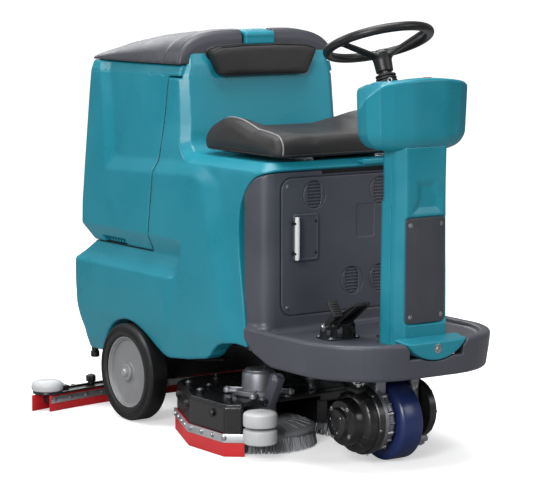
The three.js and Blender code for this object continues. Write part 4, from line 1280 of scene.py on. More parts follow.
for side, s in SIDES:
    x0, x1, y0, y1, z0, z1 = span(f"rear_tyre_{side}")
    cx, cy, cz = (x0 + x1) / 2, (y0 + y1) / 2, (z0 + z1) / 2
    big, half = (y1 - y0) / 2, (x1 - x0) / 2
    profile = tyre_profile(110.4, big, half, 11, (136, 128.5))
    part = ring(profile, 96, (cx, cy, cz), (s, 0, 0))
    piece(
        f"rear_tyre_body_{side}", part, tyre_rubber, f"rear_wheel_{side}", [f"rear_tyre_{side}"],
    )
    face = half
    rim = [
        (0, face + 1), (13, face + 1), (15, face - 1), (15, face - 3), (25, face - 3.5), (27, face - 6),
        (27, face - 14), (31, face - 17), (94, face - 21), (97, face - 20), (99, face - 14),
        (102.5, face - 12), (104.5, face - 8), (108, face - 6.5), (109.9, face - 8), (109.9, -face + 8),
        (104, -face + 8), (100, -face + 30), (40, -face + 34), (36, -face + 8), (14.2, -face + 8),
        (14.2, face - 24), (0, face - 24)
    ]
    piece(
        f"rear_rim_disc_{side}", lathe(rim, 84, (cx, cy, cz), (s, 0, 0)), rim_grey, f"rear_wheel_{side}",
        [f"rear_rim_{side}"]
    )
    cap = [(0, face + 5.5), (9, face + 5.2), (11.5, face + 3.5), (12, face - 1), (0, face - 1)]
    piece(
        f"rear_axle_cap_{side}", lathe(cap, 36, (cx, cy, cz), (s, 0, 0)), steel, f"rear_wheel_{side}",
    )
    lugs = []
    for k in range(6):
        a = math.radians(60 * k + 15)
        at = (cx + s * (face - 20.5), *turned(cy, cz, 62, a))
        lugs.append(lathe([(0, 1.4), (5.4, 1.2), (6.4, 0.2), (6.4, -1), (0, -1)], 18, at, (s, 0, 0)))
    piece(f"rear_rim_studs_{side}", joined(*lugs), rim_grey, f"rear_wheel_{side}")

# ---------------------------------------------------------------- drive unit
x0, x1, y0, y1, z0, z1 = span("drive_tyre")
DY, DZ = (y0 + y1) / 2, (z0 + z1) / 2
drive_r, drive_half = (z1 - z0) / 2, (x1 - x0) / 2
profile = [
    (78.4, drive_half - 3), (80, drive_half), (drive_r - 15, drive_half), (drive_r - 12, drive_half - 0.6),
    (drive_r - 1.4, drive_half - 8), (drive_r, drive_half - 11)
]
profile += [(r, -h) for r, h in reversed(profile)]
piece(
    "drive_tyre_body", ring(profile, 96, (0, DY, DZ), (1, 0, 0)), blue, "drive_wheel", ["drive_tyre"],
)
hub = []
hub_profile = [(16.2, 32), (30, 32), (32, 26), (32, 12), (66, 10), (70, 30), (73, 33), (77.3, 33)]
hub.append(ring(hub_profile + [(r, -h) for r, h in reversed(hub_profile)], 64, (0, DY, DZ), (1, 0, 0)))
for k in range(5):
    a = math.radians(72 * k)
    for sgn in (-1, 1):
        at = (sgn * 10.5, *turned(DY, DZ, 50, a))
        hub.append(bolt(at, (sgn, 0, 0), 7))
piece("drive_hub_body", joined(*hub), casting, "drive_wheel", ["drive_hub"])

MZ = 122.0
g0, g1 = -44.0, -86.0


def gearbox_field(x, y, z):
    """Gearbox drum, neck, bridge and far cheek in one casting."""
    r = np.hypot(y - DY, z - MZ)
    drum = lerp(x, [-88, -86, -82, -70, -66, -52, -48, -44], [88, 91, 92, 92, 86, 86, 84, 82])
    shape = rint(r - drum, slab(x, g1, g0), 3.0)
    # Ribs round the flange.
    turn = np.arctan2(z - MZ, y - DY)
    rib = np.abs(np.mod(turn * 10 / math.pi + 0.5, 1) - 0.5) * math.pi / 10 * r - 2.2
    rib = np.maximum(np.maximum(rib, r - 90.5), np.abs(x + 58) - 10)
    shape = runi(shape, rib, 3.0)
    neck = rint(block(x, y, z, -82, -46, DY - 46, DY + 46, 150, 240, 7), z - 243, 4)
    shape = runi(shape, neck, 12.0)
    bridge = block(x, y, z, -82, 80, DY - 45, DY + 45, 232, 246.4, 4)
    shape = runi(shape, bridge, 8.0)
    cheek = block(x, y, z, 47, 79, DY - 38, DY + 38, 62, 240, 9)
    shape = runi(shape, cheek, 6.0)
    return runi(shape, np.maximum(np.hypot(y - DY, z - DZ) - 15, slab(x, -60, 60)), 3.0)


gear_part = surface(gearbox_field, (-90, DY - 95, 26), (82, DY + 95, 248), 2.6)
shell("gearbox_casting", gear_part, casting, "drive_unit", ["drive_gearbox"])
studs = []
for k in range(10):
    a = math.radians(36 * k + 18)
    at = (g1 + 12, *turned(DY, MZ, 88, a))
    studs.append(lathe(bar_profile(6.2, 0, 15), 14, (at[0], at[1], at[2]), (1, 0, 0)))
    studs.append(bolt((at[0] + 14.5, at[1], at[2]), (1, 0, 0), 4.6))
for y in (-30, 30):
    for x in (-64, 64):
        studs.append(bolt((x, DY + y, 246.2), (0, 0, 1), 6))
    studs.append(bolt((63, DY + y, 62.5), (0, 0, -1), 5))
    for z in (90, 150, 205):
        studs.append(bolt((63, DY + y / 30 * 38.2, z), (0, y, 0), 5.5))
piece("gearbox_bolts", joined(*studs), zinc, "drive_unit")

mx = -86.8
motor = [
    (0, 0.4), (96, 0.4), (97.5, 2), (97.5, 20), (95, 22.5), (91.5, 23), (90.5, 26), (88, 43), (84, 48),
    (72, 53.5), (68.5, 55), (67, 59), (66.3, 72), (65, 80), (61, 86), (52, 89), (46, 90), (43.5, 92),
    (42, 98), (39, 102), (33, 103.6), (18, 104), (16, 102.4), (0, 102)
]
parts = [lathe(motor, 84, (mx, DY, MZ), (-1, 0, 0))]
for k in range(14):
    a = 2 * math.pi * k / 14
    path = [
        (mx - 30, *turned(DY, MZ, 89.5, a)), (mx - 46, *turned(DY, MZ, 84, a)),
        (mx - 54, *turned(DY, MZ, 70, a))
    ]
    parts.append(tube(path, [2.2, 2.4, 1.6], 8))
piece("motor_cover", joined(*parts), paint, "drive_unit", ["drive_motor_cover"])
trim = []
for k in range(4):
    a = math.radians(90 * k + 38)
    trim.append(bolt((mx - 88.6, *turned(DY, MZ, 52, a)), (-1, 0, 0), 4.4))
for k in range(3):
    a = math.radians(120 * k + 20)
    trim.append(screw((mx - 102.6, *turned(DY, MZ, 27, a)), (-1, 0, 0), 3.6))
for k in range(6):
    a = math.radians(60 * k + 8)
    trim.append(bolt((mx - 20, *turned(DY, MZ, 98.4, a)), (0, math.cos(a), math.sin(a)), 4.0, False))
piece("motor_bolts", joined(*trim), zinc, "drive_unit")
# Cable terminals on top of the motor, with their leads.
posts, leads = [], []
for k, (px, py) in enumerate(((-104, -8), (-112, 14), (-122, -14))):
    base = MZ + 90
    posts.append(
        lathe(
            [(0, 0), (9, 0), (9, 4), (6, 6), (6, 14), (9.5, 15), (9.5, 19), (5.2, 21), (5.2, 30), (0, 31)],
            18, (px, DY + py, base), (0, 0, 1)
        )
    )
    posts.append(bolt((px, DY + py, base + 15), (0, 0, 1), 8, False))
    path = spline(
        [
            (px, DY + py, base + 16), (px + 10, DY + py + 16, base + 22),
            (px + 40, DY + 46 + 4 * k, base + 24), (-70 + 4 * k, DY + 66, base + 6)
        ],
        6
    )
    leads.append(tube(path, 4.2, 10))
piece("motor_terminals", joined(*posts), zinc, "drive_unit")
piece("motor_leads", joined(*leads), rubber, "drive_unit")
box_part = joined(
    rbox(-134, -92, DY - 28, DY + 30, MZ + 76, MZ + 96, 5),
    rbox(-128, -98, DY - 22, DY + 24, MZ + 94, MZ + 99, 2)
)
piece("terminal_block", box_part, black, "drive_unit")

bx, bz = 80.8, 136.0
drum = [
    (0, 0), (82.5, 0), (83.8, 2), (83.8, 21), (80, 25.4), (77, 25.6), (75, 20), (50, 14), (46, 16),
    (44, 34), (41, 44), (36, 45.6), (14, 45.8), (12, 43), (0, 43)
]
piece(
    "brake_drum", lathe(drum, 80, (bx, DY, bz), (1, 0, 0)), paint, "drive_unit", ["drive_brake"],
)
caliper = [
    rbox(81, 116, DY - 30, DY + 30, 40, 58, 4), rbox(80.5, 96, DY - 36, DY + 36, 46, 62, 4),
    rbox(84, 110, DY - 24, DY - 8, 32, 46, 3), rbox(84, 110, DY + 8, DY + 24, 32, 46, 3)
]
piece("brake_bracket", joined(*caliper), casting, "drive_unit")
heads = [bolt((116, DY + y, 49), (1, 0, 0), 5.2) for y in (-20, 0, 20)] + [
    bolt((bx + 24.6, *turned(DY, bz, 79.6, a)), (1, 0, 0), 2.8, False)
    for a in np.linspace(0, 2 * math.pi, 9)[:-1]
]
heads += [bolt((97, DY + y, 31.5), (0, 0, -1), 5) for y in (-16, 16)]
piece("brake_bolts", joined(*heads), zinc, "drive_unit")
fork = [
    lathe([(30, 262.2), (60, 262.2), (61.6, 263.5), (61.6, 270), (60, 271.4), (30, 271.4)], 60, (0, DY, 0)),
    lathe(
        [
            (0, 246.8), (84, 246.8), (86, 248.5), (86, 258.5), (84, 260.5), (63, 261.5), (60, 262.4),
            (30, 262.4), (30, 323), (27, 326), (0, 326)
        ],
        60, (0, DY, 0)
    )
]
piece("steering_bearing", joined(*fork), steel, "drive_unit", ["steering_fork"])
heads = [
    bolt((*turned(0, DY, 74, a), 260), (0, 0, 1), 4.5, False) for a in np.linspace(0, 2 * math.pi, 9)[:-1]
]
piece("steering_bearing_bolts", joined(*heads), zinc, "drive_unit")
sprocket = lathe([(20, 318), (60, 318), (62, 320), (62, 324), (60, 326), (20, 326)], 48, (0, DY, 4))
piece("steering_sprocket", sprocket, casting, "drive_unit")


# ---------------------------------------------------------------- scrub head
HEAD_Y = (span("brush_right")[2] + span("brush_right")[3]) / 2
BRUSH_X = -(span("brush_right")[0] + span("brush_right")[1]) / 2
BRUSH_R = (span("brush_right")[3] - span("brush_right")[2]) / 2
HEAD_TOP = 145.0
STAR_R = 94
band_z0, band_z1 = span("skirt_band_right")[4], span("skirt_band_right")[5]


def skirt_line(i, short=False):
    """Outline of the skirt on one side, i inside it. The short one stops before the front corner."""
    if short:
        return [(-284 + i, -198 - 0.4 * i), (-380 + i, -421), (-380 + i, -545)]
    return [(-284 + i, -198 - 0.4 * i), (-380 + i, -421), (-380 + i, -605 + 0.6 * i), (-334 + i, -642 + i)]


def ribbon(outer, inner, z0, z1, r=1.0):
    """A wall between two lines seen from above."""
    return plate(list(outer) + list(reversed(inner)), "z", z0, z1, r)


def along(line, spacing, start, lift):
    """Places and outward directions along a line seen from above."""
    out = []
    left = start
    for a, b in zip(line, line[1:]):
        a, b = Vector(a), Vector(b)
        length = (b - a).length
        d = (b - a) / length
        normal = Vector((-d.y, d.x)) * lift
        while left < length:
            out.append((a + d * left, normal))
            left += spacing
        left -= length
    return out


housing_half = [
    (200, -172, 10), (279, -200, 14), (375, -421, 8), (375, -601, 8), (331, -634, 6), (316, -612, 8),
    (226, -594, 8), (120, -594, 20), (92, -562, 20)
]
housing_line = fillet(mirror(housing_half), 3)
clipped = fillet([(226, -700), (420, -700), (420, -546), (375.4, -546, 6), (330, -592, 6), (226, -592)], 3)


def housing_field(x, y, z):
    """Brush housing with one clipped front corner."""
    edge = poly(housing_line, x, y)
    shape = cint(edge, z - HEAD_TOP, 5.0)
    shape = rint(shape, F(50) - z, 2.0)
    rim = np.maximum(np.abs(edge + 9) - 3.0, slab(z, 143, 148.5))
    shape = runi(shape, rim, 3.0)
    shape = rcut(shape, poly(clipped, x, y) + 0 * z, 4.0)
    deck = rrect(x, y, -250, 250, -600, -300, 22)
    shape = runi(shape, rint(deck, slab(z, 120, 148), 3.0), 5.0)
    for sgn in (-1, 1):
        collar = rint(disc(x, y, sgn * BRUSH_X, HEAD_Y, 76), slab(z, 130, 148.4), 2.0)
        shape = runi(shape, collar, 3.0)
    rooms = np.minimum(disc(x, y, -BRUSH_X, HEAD_Y, BRUSH_R + 8), disc(x, y, BRUSH_X, HEAD_Y, BRUSH_R + 8))
    shape = np.maximum(shape, -np.maximum(rooms, z - 136))
    shaft = np.minimum(disc(x, y, -BRUSH_X, HEAD_Y, 56), disc(x, y, BRUSH_X, HEAD_Y, 56))
    return np.maximum(shape, -np.maximum(shaft, z - 146))


head_part = surface(housing_field, (-378, -640, 48), (378, -168, 149), 3.6)
shell("head_housing", head_part, paint, "scrub_head", ["deck_housing"])
for side, s in SIDES:
    short = s > 0
    outer, inner = skirt_line(0, short), skirt_line(4, short)
    piece(
        f"head_skirt_{side}", onside(ribbon(outer, inner, 1, 66, 0.8), s), red, "scrub_head",
        [f"skirt_{side}"]
    )
    band = ribbon(skirt_line(-3, short), skirt_line(-0.6, short), band_z0, band_z1, 0.6)
    piece(f"head_band_{side}", onside(band, s), steel, "scrub_head", [f"skirt_band_{side}"])
    bolts = []
    for p, nrm in along(skirt_line(-3.0, short), 58, 26, -1):
        bolts.append(bolt((p.x, p.y, (band_z0 + band_z1) / 2 + 1), (nrm.x, nrm.y, 0), 4.6))
    piece(f"head_band_bolts_{side}", onside(joined(*bolts), s), zinc, "scrub_head")
    # Knobs that clamp the skirt on the housing's walls, and round bosses on its top.
    bits = []
    for p, nrm in along(skirt_line(2.0, short), 150, 60, -1):
        bits.append(
            lathe(
                [(0, 0), (7, 0), (7, 7), (12, 9), (12, 17), (9, 20), (0, 20)], 14, (p.x + 14, p.y, 118),
                (nrm.x, nrm.y, 0)
            )
        )
    for x, y in ((-300, -300), (-338, -420), (-330, -560), (-150, -220), (-60, -300)):
        bits.append(
            lathe([(0, 0), (13, 0), (13, 5), (8, 7), (8, 18), (0, 19)], 20, (x, y, HEAD_TOP - 1), (0, 0, 1))
        )
    piece(f"head_fittings_{side}", onside(joined(*bits), s), black, "scrub_head")
    heads = [
        bolt((x, y, HEAD_TOP + 17.5), (0, 0, 1), 6) for x, y in ((-300, -300), (-338, -420), (-330, -560))
    ]
    heads += [
        bolt((x, y, HEAD_TOP + 3), (0, 0, 1), 6)
        for x, y in ((-236, -590), (-150, -590), (-236, -312), (-110, -312))
    ]
    piece(f"head_fitting_bolts_{side}", onside(joined(*heads), s), zinc, "scrub_head")

    # Disc brush: a stepped block with radial ribs, and rings of bristle tufts that splay outwards.
    body = f"disc_brush_{side}"
    cx = -BRUSH_X
    block_profile = [
        (0, 84), (57, 84), (60, 82), (62, 79), (92, 77), (96, 74.5), (118, 73), (122, 70.5), (150, 62),
        (156, 60.5), (163, 57), (166, 53), (166, 47), (163, 45), (100, 45), (96, 40), (0, 40)
    ]
    parts = [
        lathe(block_profile, 96, (cx, HEAD_Y, 0)),
        lathe([(0, 84), (51, 84), (51, 126), (49, 128), (0, 128)], 40, (cx, HEAD_Y, 0))
    ]
    for k in range(24):
        a = 2 * math.pi * k / 24
        parts.append(
            tube(
                [
                    (*turned(cx, HEAD_Y, 98, a), 74.6), (*turned(cx, HEAD_Y, 122, a), 70.8),
                    (*turned(cx, HEAD_Y, 150, a), 62)
                ],
                2.0, 6
            )
        )
    piece(f"brush_block_{side}", onside(joined(*parts), s), mid_grey, body, [f"brush_{side}"])
    rng = np.random.default_rng(7)
    verts, faces = [], []
    for r0, r1, count in ((108, 112, 62), (124, 129, 78), (140, 147, 96), (154, 163, 116), (160, 169, 128)):
        for k in range(count):
            a = 2 * math.pi * (k + rng.uniform(-0.2, 0.2)) / count
            lean = rng.uniform(-0.012, 0.012)
            for strand in range(3):
                da = (strand - 1) * 1.7 / r1 + rng.uniform(-0.004, 0.004)
                ro, zt = rng.uniform(-1.5, 1.5), rng.uniform(1.6, 4.5)
                base = len(verts)
                for r, z, thick, turn in (
                    (r0 + ro, 46, 1.0, a + da * 0.4), (r0 * 0.45 + r1 * 0.55 + ro, 24, 1.15, a + da * 0.8),
                    (r1 + ro, zt, 1.3, a + da * 1.3 + lean)
                ):
                    for q in range(4):
                        t = math.pi / 2 * q + a
                        verts.append(
                            (
                                cx + r * math.cos(turn) + thick * math.cos(t),
                                HEAD_Y + r * math.sin(turn) + thick * math.sin(t), z
                            )
                        )
                for level in (0, 4):
                    for q in range(4):
                        j = (q + 1) % 4
                        faces.append(
                            (base + level + q, base + level + j, base + level + 4 + j, base + level + 4 + q)
                        )
                faces.append((base + 8, base + 9, base + 10, base + 11))
                faces.append((base + 3, base + 2, base + 1, base))
    piece(f"brush_bristles_{side}", onside((np.array(verts), faces), s), bristle, body)

    # Brush motor with its cast mounting star.
    motor_line = [
        (0, 222), (36, 222), (41, 220), (43, 216), (47, 213), (49, 209), (49.6, 186), (50, 183), (50, 164),
        (52, 162), (64, 160.6), (66, 158), (66, 149), (0, 149)
    ]
    piece(
        f"brush_motor_body_{side}", onside(lathe(motor_line, 64, (cx, HEAD_Y, 0)), s), casting,
        "scrub_head", [f"brush_motor_{side}"]
    )
    star = []
    for k in range(4):
        a = math.radians(45 + 90 * k)
        arm = plate(
            fillet([(40, -13, 3), (96, -9, 3), (104, 0, 8), (96, 9, 3), (40, 13, 3)], 3), "z", 149, 158, 1.5
        )
        arm = moved(arm, Matrix.Translation((cx, HEAD_Y, 0)) @ Matrix.Rotation(a, 4, "Z"))
        star.append(arm)
        rib = rbox(44, 92, -3, 3, 156, 165, 1.5)
        star.append(moved(rib, Matrix.Translation((cx, HEAD_Y, 0)) @ Matrix.Rotation(a, 4, "Z")))
        star.append(
            lathe(
                [(0, 162), (10, 162), (11, 160), (11, 149), (0, 149)], 24,
                (*turned(cx, HEAD_Y, STAR_R, a), 0)
            )
        )
    piece(f"motor_mount_star_{side}", onside(joined(*star), s), casting, "scrub_head")
    heads = [
        bolt((*turned(cx, HEAD_Y, STAR_R, math.radians(45 + 90 * k)), 162), (0, 0, 1), 5.5)
        for k in range(4)
    ]
    heads += [screw((*turned(cx, HEAD_Y, 30, a), 222), (0, 0, 1), 3.4) for a in (0.4, 2.5, 4.6)]
    piece(f"motor_mount_bolts_{side}", onside(joined(*heads), s), zinc, "scrub_head")
    # Lift arm: a folded plate from the head up towards the frame.
    arm_line = fillet([(-560, 122, 8), (-596, 122, 8), (-648, 216, 10), (-640, 226, 8), (-612, 226, 10)], 4)
    parts = [plate(arm_line, "x", -221, -216, 1.2), plate(arm_line, "x", -202, -197, 1.2)]
    spine = [(-597, 124), (-599, 122), (-650, 214), (-646, 217)]
    parts.append(plate(spine, "x", -221, -197, 0.5))
    piece(f"head_lift_arm_{side}", onside(joined(*parts), s), grey, "scrub_head")
    pins = [tube([(-226, y, z), (-192, y, z)], 5, 14) for y, z in ((-580, 134), (-630, 212))]
    pins += [bolt((-221, y, z), (-1, 0, 0), 6.5) for y, z in ((-580, 134), (-630, 212))]
    piece(f"head_lift_pins_{side}", onside(joined(*pins), s), zinc, "scrub_head")

    # Bumper wheels, a pair on one bracket at the right front corner only.
    if s > 0:
        continue
    x0, x1, y0, y1, z0, z1 = span(f"deck_roller_{side}")
    rx, ry = -(abs(x0 + x1) / 2), (y0 + y1) / 2
    h = 44.0
    wheel = [
        (0, 0), (7, 0), (8, 2.5), (38, 2.5), (41, 0.4), (45, 0.8), (48, 3.2), (49, 7), (49, h - 11),
        (48.2, h - 6), (45, h - 2.4), (38, h - 0.6), (20, h), (8, h - 0.4), (7, h - 3), (0, h - 3)
    ]
    lower = lathe(wheel, 64, (rx, ry, z0))
    top = [
        (0, 0), (40, 0), (45, 0.8), (48, 3.2), (49, 7), (49, h - 13), (47.6, h - 7), (43, h - 2.6),
        (34, h - 0.4), (16, h), (9, h - 0.2), (8, h - 2.4), (0, h - 2.4)
    ]
    upper = lathe(top, 64, (rx, ry, z0 + h + 5))
    piece(
        f"bumper_wheels_{side}", onside(joined(lower, upper), s), pale, f"bumper_{side}",
        [f"deck_roller_{side}"]
    )
    pin = joined(
        tube([(rx, ry, z0 + 20), (rx, ry, z0 + 2 * h)], 6, 16),
        lathe([(0, 0), (4.5, 0), (5.5, -1), (5.5, -4), (0, -4)], 6, (rx, ry, z0 + 2 * h + 4.8))
    )
    piece(f"bumper_spindle_{side}", onside(pin, s), steel, f"bumper_{side}")
    shelf = plate(
        fillet(
            [
                (rx - 18, -606, 3), (rx - 18, ry, 4), (rx - 10, ry - 18, 8), (rx + 10, ry - 18, 8),
                (rx + 18, ry, 4), (rx + 30, -606, 3)
            ],
            3
        ),
        "z", z0 + h + 1, z0 + h + 4, 0.6
    )
    shelf = joined(shelf, rbox(rx - 18, rx + 30, -618, -606, 78, 110, 1.5))
    piece(f"bumper_bracket_{side}", onside(shelf, s), paint, "scrub_head")

# Cables that lie between the rear wheels and the head, and the drain under the rear right corner.
for side, s in SIDES:
    runs = []
    for k, (x, sag) in enumerate(((-214, 176), (-204, 188), (-188, 170))):
        runs.append(
            tube(
                spline(
                    [
                        (x, -20, 262), (x - 10, -90, 244), (x + 4, -150, sag + 32),
                        (x + 18, -220, 206 + 6 * k), (x + 40, -300, 216)
                    ],
                    8
                ),
                4.2 - 0.5 * k, 10
            )
        )
    piece(f"head_cables_{side}", onside(joined(*runs), s), rubber, "chassis")
drain_line = [
    (0, 148), (11, 148), (14, 150), (14, 166), (11, 168), (11, 186), (15, 188), (17, 192), (17, 200),
    (12, 203), (12, 246), (0, 246)
]
piece("rear_drain", lathe(drain_line, 32, (-270, 296, 0)), black, "chassis")

# Actuator that lifts the head.
ax, ay = 62, -420
profile = [(11, 212), (17, 212), (20, 214), (20, 280), (18, 285), (11, 285)]
parts = [
    ring(profile, 40, (ax, ay, 0)), rbox(34, 50.5, -433, -407, 252, 280, 3),
    rbox(ax - 26, ax + 30, ay + 14, ay + 62, 226, 284, 6)
]
piece("head_actuator", joined(*parts), black, "chassis", ["deck_actuator"])
rod = [
    lathe([(0, 146), (16, 146), (16, 150), (9, 152), (9, 226), (0, 226)], 32, (ax, ay, 0)),
    rbox(ax - 16, ax + 16, ay - 12, ay + 12, 146, 158, 3)
]
piece("head_actuator_rod", joined(*rod), steel, "scrub_head")

# ---------------------------------------------------------------- squeegee
blade = span("squeegee_blade_rear")
SQ_HALF = blade[1]
SQ_R = 2146.0
SQ_MID = blade[3]
NOZZLE_Y = 318
ROLLER_X, ROLLER_Y = 450, 288


def sq_y(x, y0):
    """Lengthwise place of the squeegee's bow, y0 at its middle."""
    return y0 - SQ_R + math.sqrt(SQ_R * SQ_R - x * x)


def sq_strip(y0, thick, half, z0, z1, r=0.8):
    """A strip that follows the squeegee's bow, its rear face at y0."""
    xs = np.linspace(-half, half, 36)
    return ribbon([(x, sq_y(x, y0 - thick)) for x in xs], [(x, sq_y(x, y0)) for x in xs], z0, z1, r)


piece(
    "rear_blade", sq_strip(SQ_MID, 5, SQ_HALF, 1, 51, 1.0), red, "squeegee", ["squeegee_blade_rear"],
)
FRONT_Y = SQ_MID - 5 - 0.6 - 43 - 0.6
piece(
    "front_blade", sq_strip(FRONT_Y, 5, SQ_HALF - 40, 1, 51, 1.0), red, "squeegee",
    ["squeegee_blade_front"]
)
parts = [
    sq_strip(SQ_MID - 5.6, 43, SQ_HALF - 44, 22, 54, 2.0),
    sq_strip(SQ_MID + 3.6, 66, SQ_HALF - 46, 53, 60, 2.0)
]
for sgn in (-1, 1):
    parts.append(
        lathe(
            [(0, 60), (42, 60), (45, 58.5), (46, 56), (46, 53), (44, 51.5), (0, 51.5)], 48,
            (sgn * ROLLER_X, ROLLER_Y, 0)
        )
    )
parts.append(sq_strip(SQ_MID - 20, 8, SQ_HALF - 120, 59, 66, 2.0))
parts.append(rbox(-34, 34, 288, 342, 56, 76, 5))
lug_line = fillet(
    [
        (296, 57, 2), (296, 74, 8), (170, 128, 14), (154, 134, 12), (136, 132, 12), (129, 118, 12),
        (136, 106, 12), (156, 98, 20), (240, 57, 4)
    ],
    4
)
parts.append(plate(lug_line, "x", -14, 14, 2.5))
nozzle = [
    (15, 52), (15, 98), (19, 98), (20, 96.5), (20, 92), (18, 90.5), (18, 86), (20, 84.5), (20, 80),
    (26, 78), (30, 70), (30, 60)
]
parts.append(ring(nozzle, 40, (0, NOZZLE_Y, 0)))
piece("squeegee_body", joined(*parts), paint, "squeegee", ["squeegee_frame"])
bands, bolts = [], []
bands.append(sq_strip(FRONT_Y - 5.4, 2.2, SQ_HALF - 44, 26, 47, 0.6))
bands.append(sq_strip(SQ_MID + 2.6, 2.2, SQ_HALF - 6, 27, 47, 0.6))
for x in np.linspace(-SQ_HALF + 60, SQ_HALF - 60, 15):
    nx, ny = x / SQ_R, math.sqrt(1 - (x / SQ_R) ** 2)
    bolts.append(bolt((x, sq_y(x, FRONT_Y - 7.6), 36.5), (-nx, -ny, 0), 4.4))
for x in np.linspace(-SQ_HALF + 26, SQ_HALF - 26, 17):
    nx, ny = x / SQ_R, math.sqrt(1 - (x / SQ_R) ** 2)
    bolts.append(screw((x, sq_y(x, SQ_MID + 2.6), 37), (nx, ny, 0), 4.0))
piece("squeegee_bands", joined(*bands), steel, "squeegee")
piece("squeegee_band_bolts", joined(*bolts), zinc, "squeegee")
bits, metal = [], []
for sgn in (-1, 1):
    # Roller brackets, wear plates and adjusters along the frame.
    bits.append(
        rbox(sgn * 400 - 16, sgn * 400 + 16, sq_y(400, SQ_MID) - 44, sq_y(400, SQ_MID) - 8, 59, 74, 3)
    )
    bits.append(rbox(sgn * 180 - 20, sgn * 180 + 20, 290, 330, 59, 84, 4))
    bits.append(
        lathe(
            [(0, 84), (14, 84), (14, 88), (9, 90), (9, 108), (13, 110), (13, 118), (10, 121), (0, 121)], 24,
            (sgn * 180, 308, 0)
        )
    )
    bits.append(
        lathe([(0, 58), (11, 58), (11, 66), (8, 67), (8, 84), (0, 84)], 24, (sgn * ROLLER_X, ROLLER_Y, 0))
    )
    metal.append(lathe(bar_profile(6, 58, 72), 16, (sgn * 284, 300, 0)))
    metal.append(bolt((sgn * 400, sq_y(400, SQ_MID) - 26, 74), (0, 0, 1), 6))
    metal += [bolt((sgn * x, 318, 60), (0, 0, 1), 5.5) for x in (120, 240, 340)]
piece("squeegee_fittings", joined(*bits), black, "squeegee")
piece("squeegee_studs", joined(*metal), zinc, "squeegee")
for side, s in SIDES:
    x0, x1, y0, y1, z0, z1 = span(f"squeegee_roller_{side}")
    cx, cy = (x0 + x1) / 2, (y0 + y1) / 2
    roller = [
        (8.4, 0), (8.4, 25), (0, 25), (0, 33.6), (16, 33.4), (30, 32), (41, 28.6), (46, 25), (49, 20.5),
        (50, 16), (50, 6), (48.6, 2.2), (45, 0), (8.4, 0)
    ]
    piece(
        f"squeegee_wheel_tyre_{side}", lathe(roller, 64, (cx, cy, z0)), pale, f"squeegee_wheel_{side}",
        [f"squeegee_roller_{side}"]
    )
    x0, x1, y0, y1, z0, z1 = span(f"squeegee_knob_{side}")
    cx, cy = (x0 + x1) / 2, (y0 + y1) / 2
    lobes = [
        (
            cx + (14.4 + 1.6 * math.cos(7 * a)) * math.cos(a),
            cy + (14.4 + 1.6 * math.cos(7 * a)) * math.sin(a)
        )
        for a in np.linspace(0, 2 * math.pi, 71)[:-1]
    ]
    knob = [
        plate(lobes, "z", z0 + 9, z0 + 29, 2.2),
        lathe([(6.6, 0), (10, 0), (10.4, 1), (10.4, 9), (6.6, 9), (6.6, 0)], 30, (cx, cy, z0)),
        lathe([(0, 33), (7, 32.6), (10.6, 30.6), (11.4, 28.4), (0, 28.4)], 30, (cx, cy, z0))
    ]
    piece(
        f"squeegee_knob_grip_{side}", joined(*knob), black, f"knob_{side}", [f"squeegee_knob_{side}"],
    )

SWING_Y, LIFT_Y, LIFT_Z = 95, 145, 118
parts = [
    lathe([(0, 171), (22, 171), (24, 169.5), (24, 151.5), (22, 150), (0, 150)], 40, (0, SWING_Y, 0)),
    lathe([(0, 208), (7, 208), (8, 207), (8, 170), (0, 170)], 24, (0, SWING_Y, 0)),
    rbox(-24, 24, SWING_Y, LIFT_Y - 22, 150, 164, 3),
    rbox(-24, 24, LIFT_Y - 44, LIFT_Y - 28, 140, 163.5, 3),
]
ear = fillet(
    [
        (LIFT_Y - 42, 163.5, 2), (LIFT_Y - 42, 128, 6), (LIFT_Y - 12, 103, 12), (LIFT_Y + 12, 103, 12),
        (LIFT_Y + 16, 128, 12), (LIFT_Y - 14, 163.5, 4)
    ],
    4
)
parts += [plate(ear, "x", sgn * 19.5 - 4.5, sgn * 19.5 + 4.5, 1) for sgn in (-1, 1)]
piece("tow_arm_body", joined(*parts), paint, "squeegee_arm", ["squeegee_tow_arm"])
pin = joined(
    tube([(-24, LIFT_Y, LIFT_Z), (24, LIFT_Y, LIFT_Z)], 5.6, 18),
    bolt((-24, LIFT_Y, LIFT_Z), (-1, 0, 0), 7), bolt((24, LIFT_Y, LIFT_Z), (1, 0, 0), 7)
)
piece("tow_arm_pin", pin, zinc, "squeegee_arm")

# Vacuum hose: ribbed, from the squeegee's cuff up into the body.
hose_path = spline(
    [(0, NOZZLE_Y, 168), (0, 322, 210), (6, 322, 270), (16, 316, 340), (26, 300, 405), (30, 290, 440)], 26
)
total = len(hose_path)
hose = tube(hose_path, [16.6 + 1.4 * math.cos(2 * math.pi * k / 4) for k in range(total)], 24)
hose_ob = shell("vacuum_hose_ribbed", hose, rubber, "chassis", ["vacuum_hose"])
hose_ob.parent = None
del hose_ob["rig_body"]
tuple(row([30, 290, 420]))
tuple(row([0, NOZZLE_Y, 196]))
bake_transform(hose_ob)
cuff = ring(
    [(15.4, 163), (18.6, 163), (19.6, 164.5), (19.6, 185), (18, 187), (15.4, 187)], 36, (0, NOZZLE_Y, 0)
)
piece("vacuum_hose_cuff", cuff, black, "squeegee_arm")
folds = [(14.4, 97.5)]
for k in range(10):
    folds += [(20.5, 99 + 6.4 * k), (17.2, 102.2 + 6.4 * k)]
folds += [(19, 163), (14.4, 163), (14.4, 97.5)]
bellows = piece("nozzle_bellows", lathe(folds, 36, (0, NOZZLE_Y, 0)), rubber, "squeegee")
tuple(row([0, NOZZLE_Y, 98]))
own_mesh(bellows)


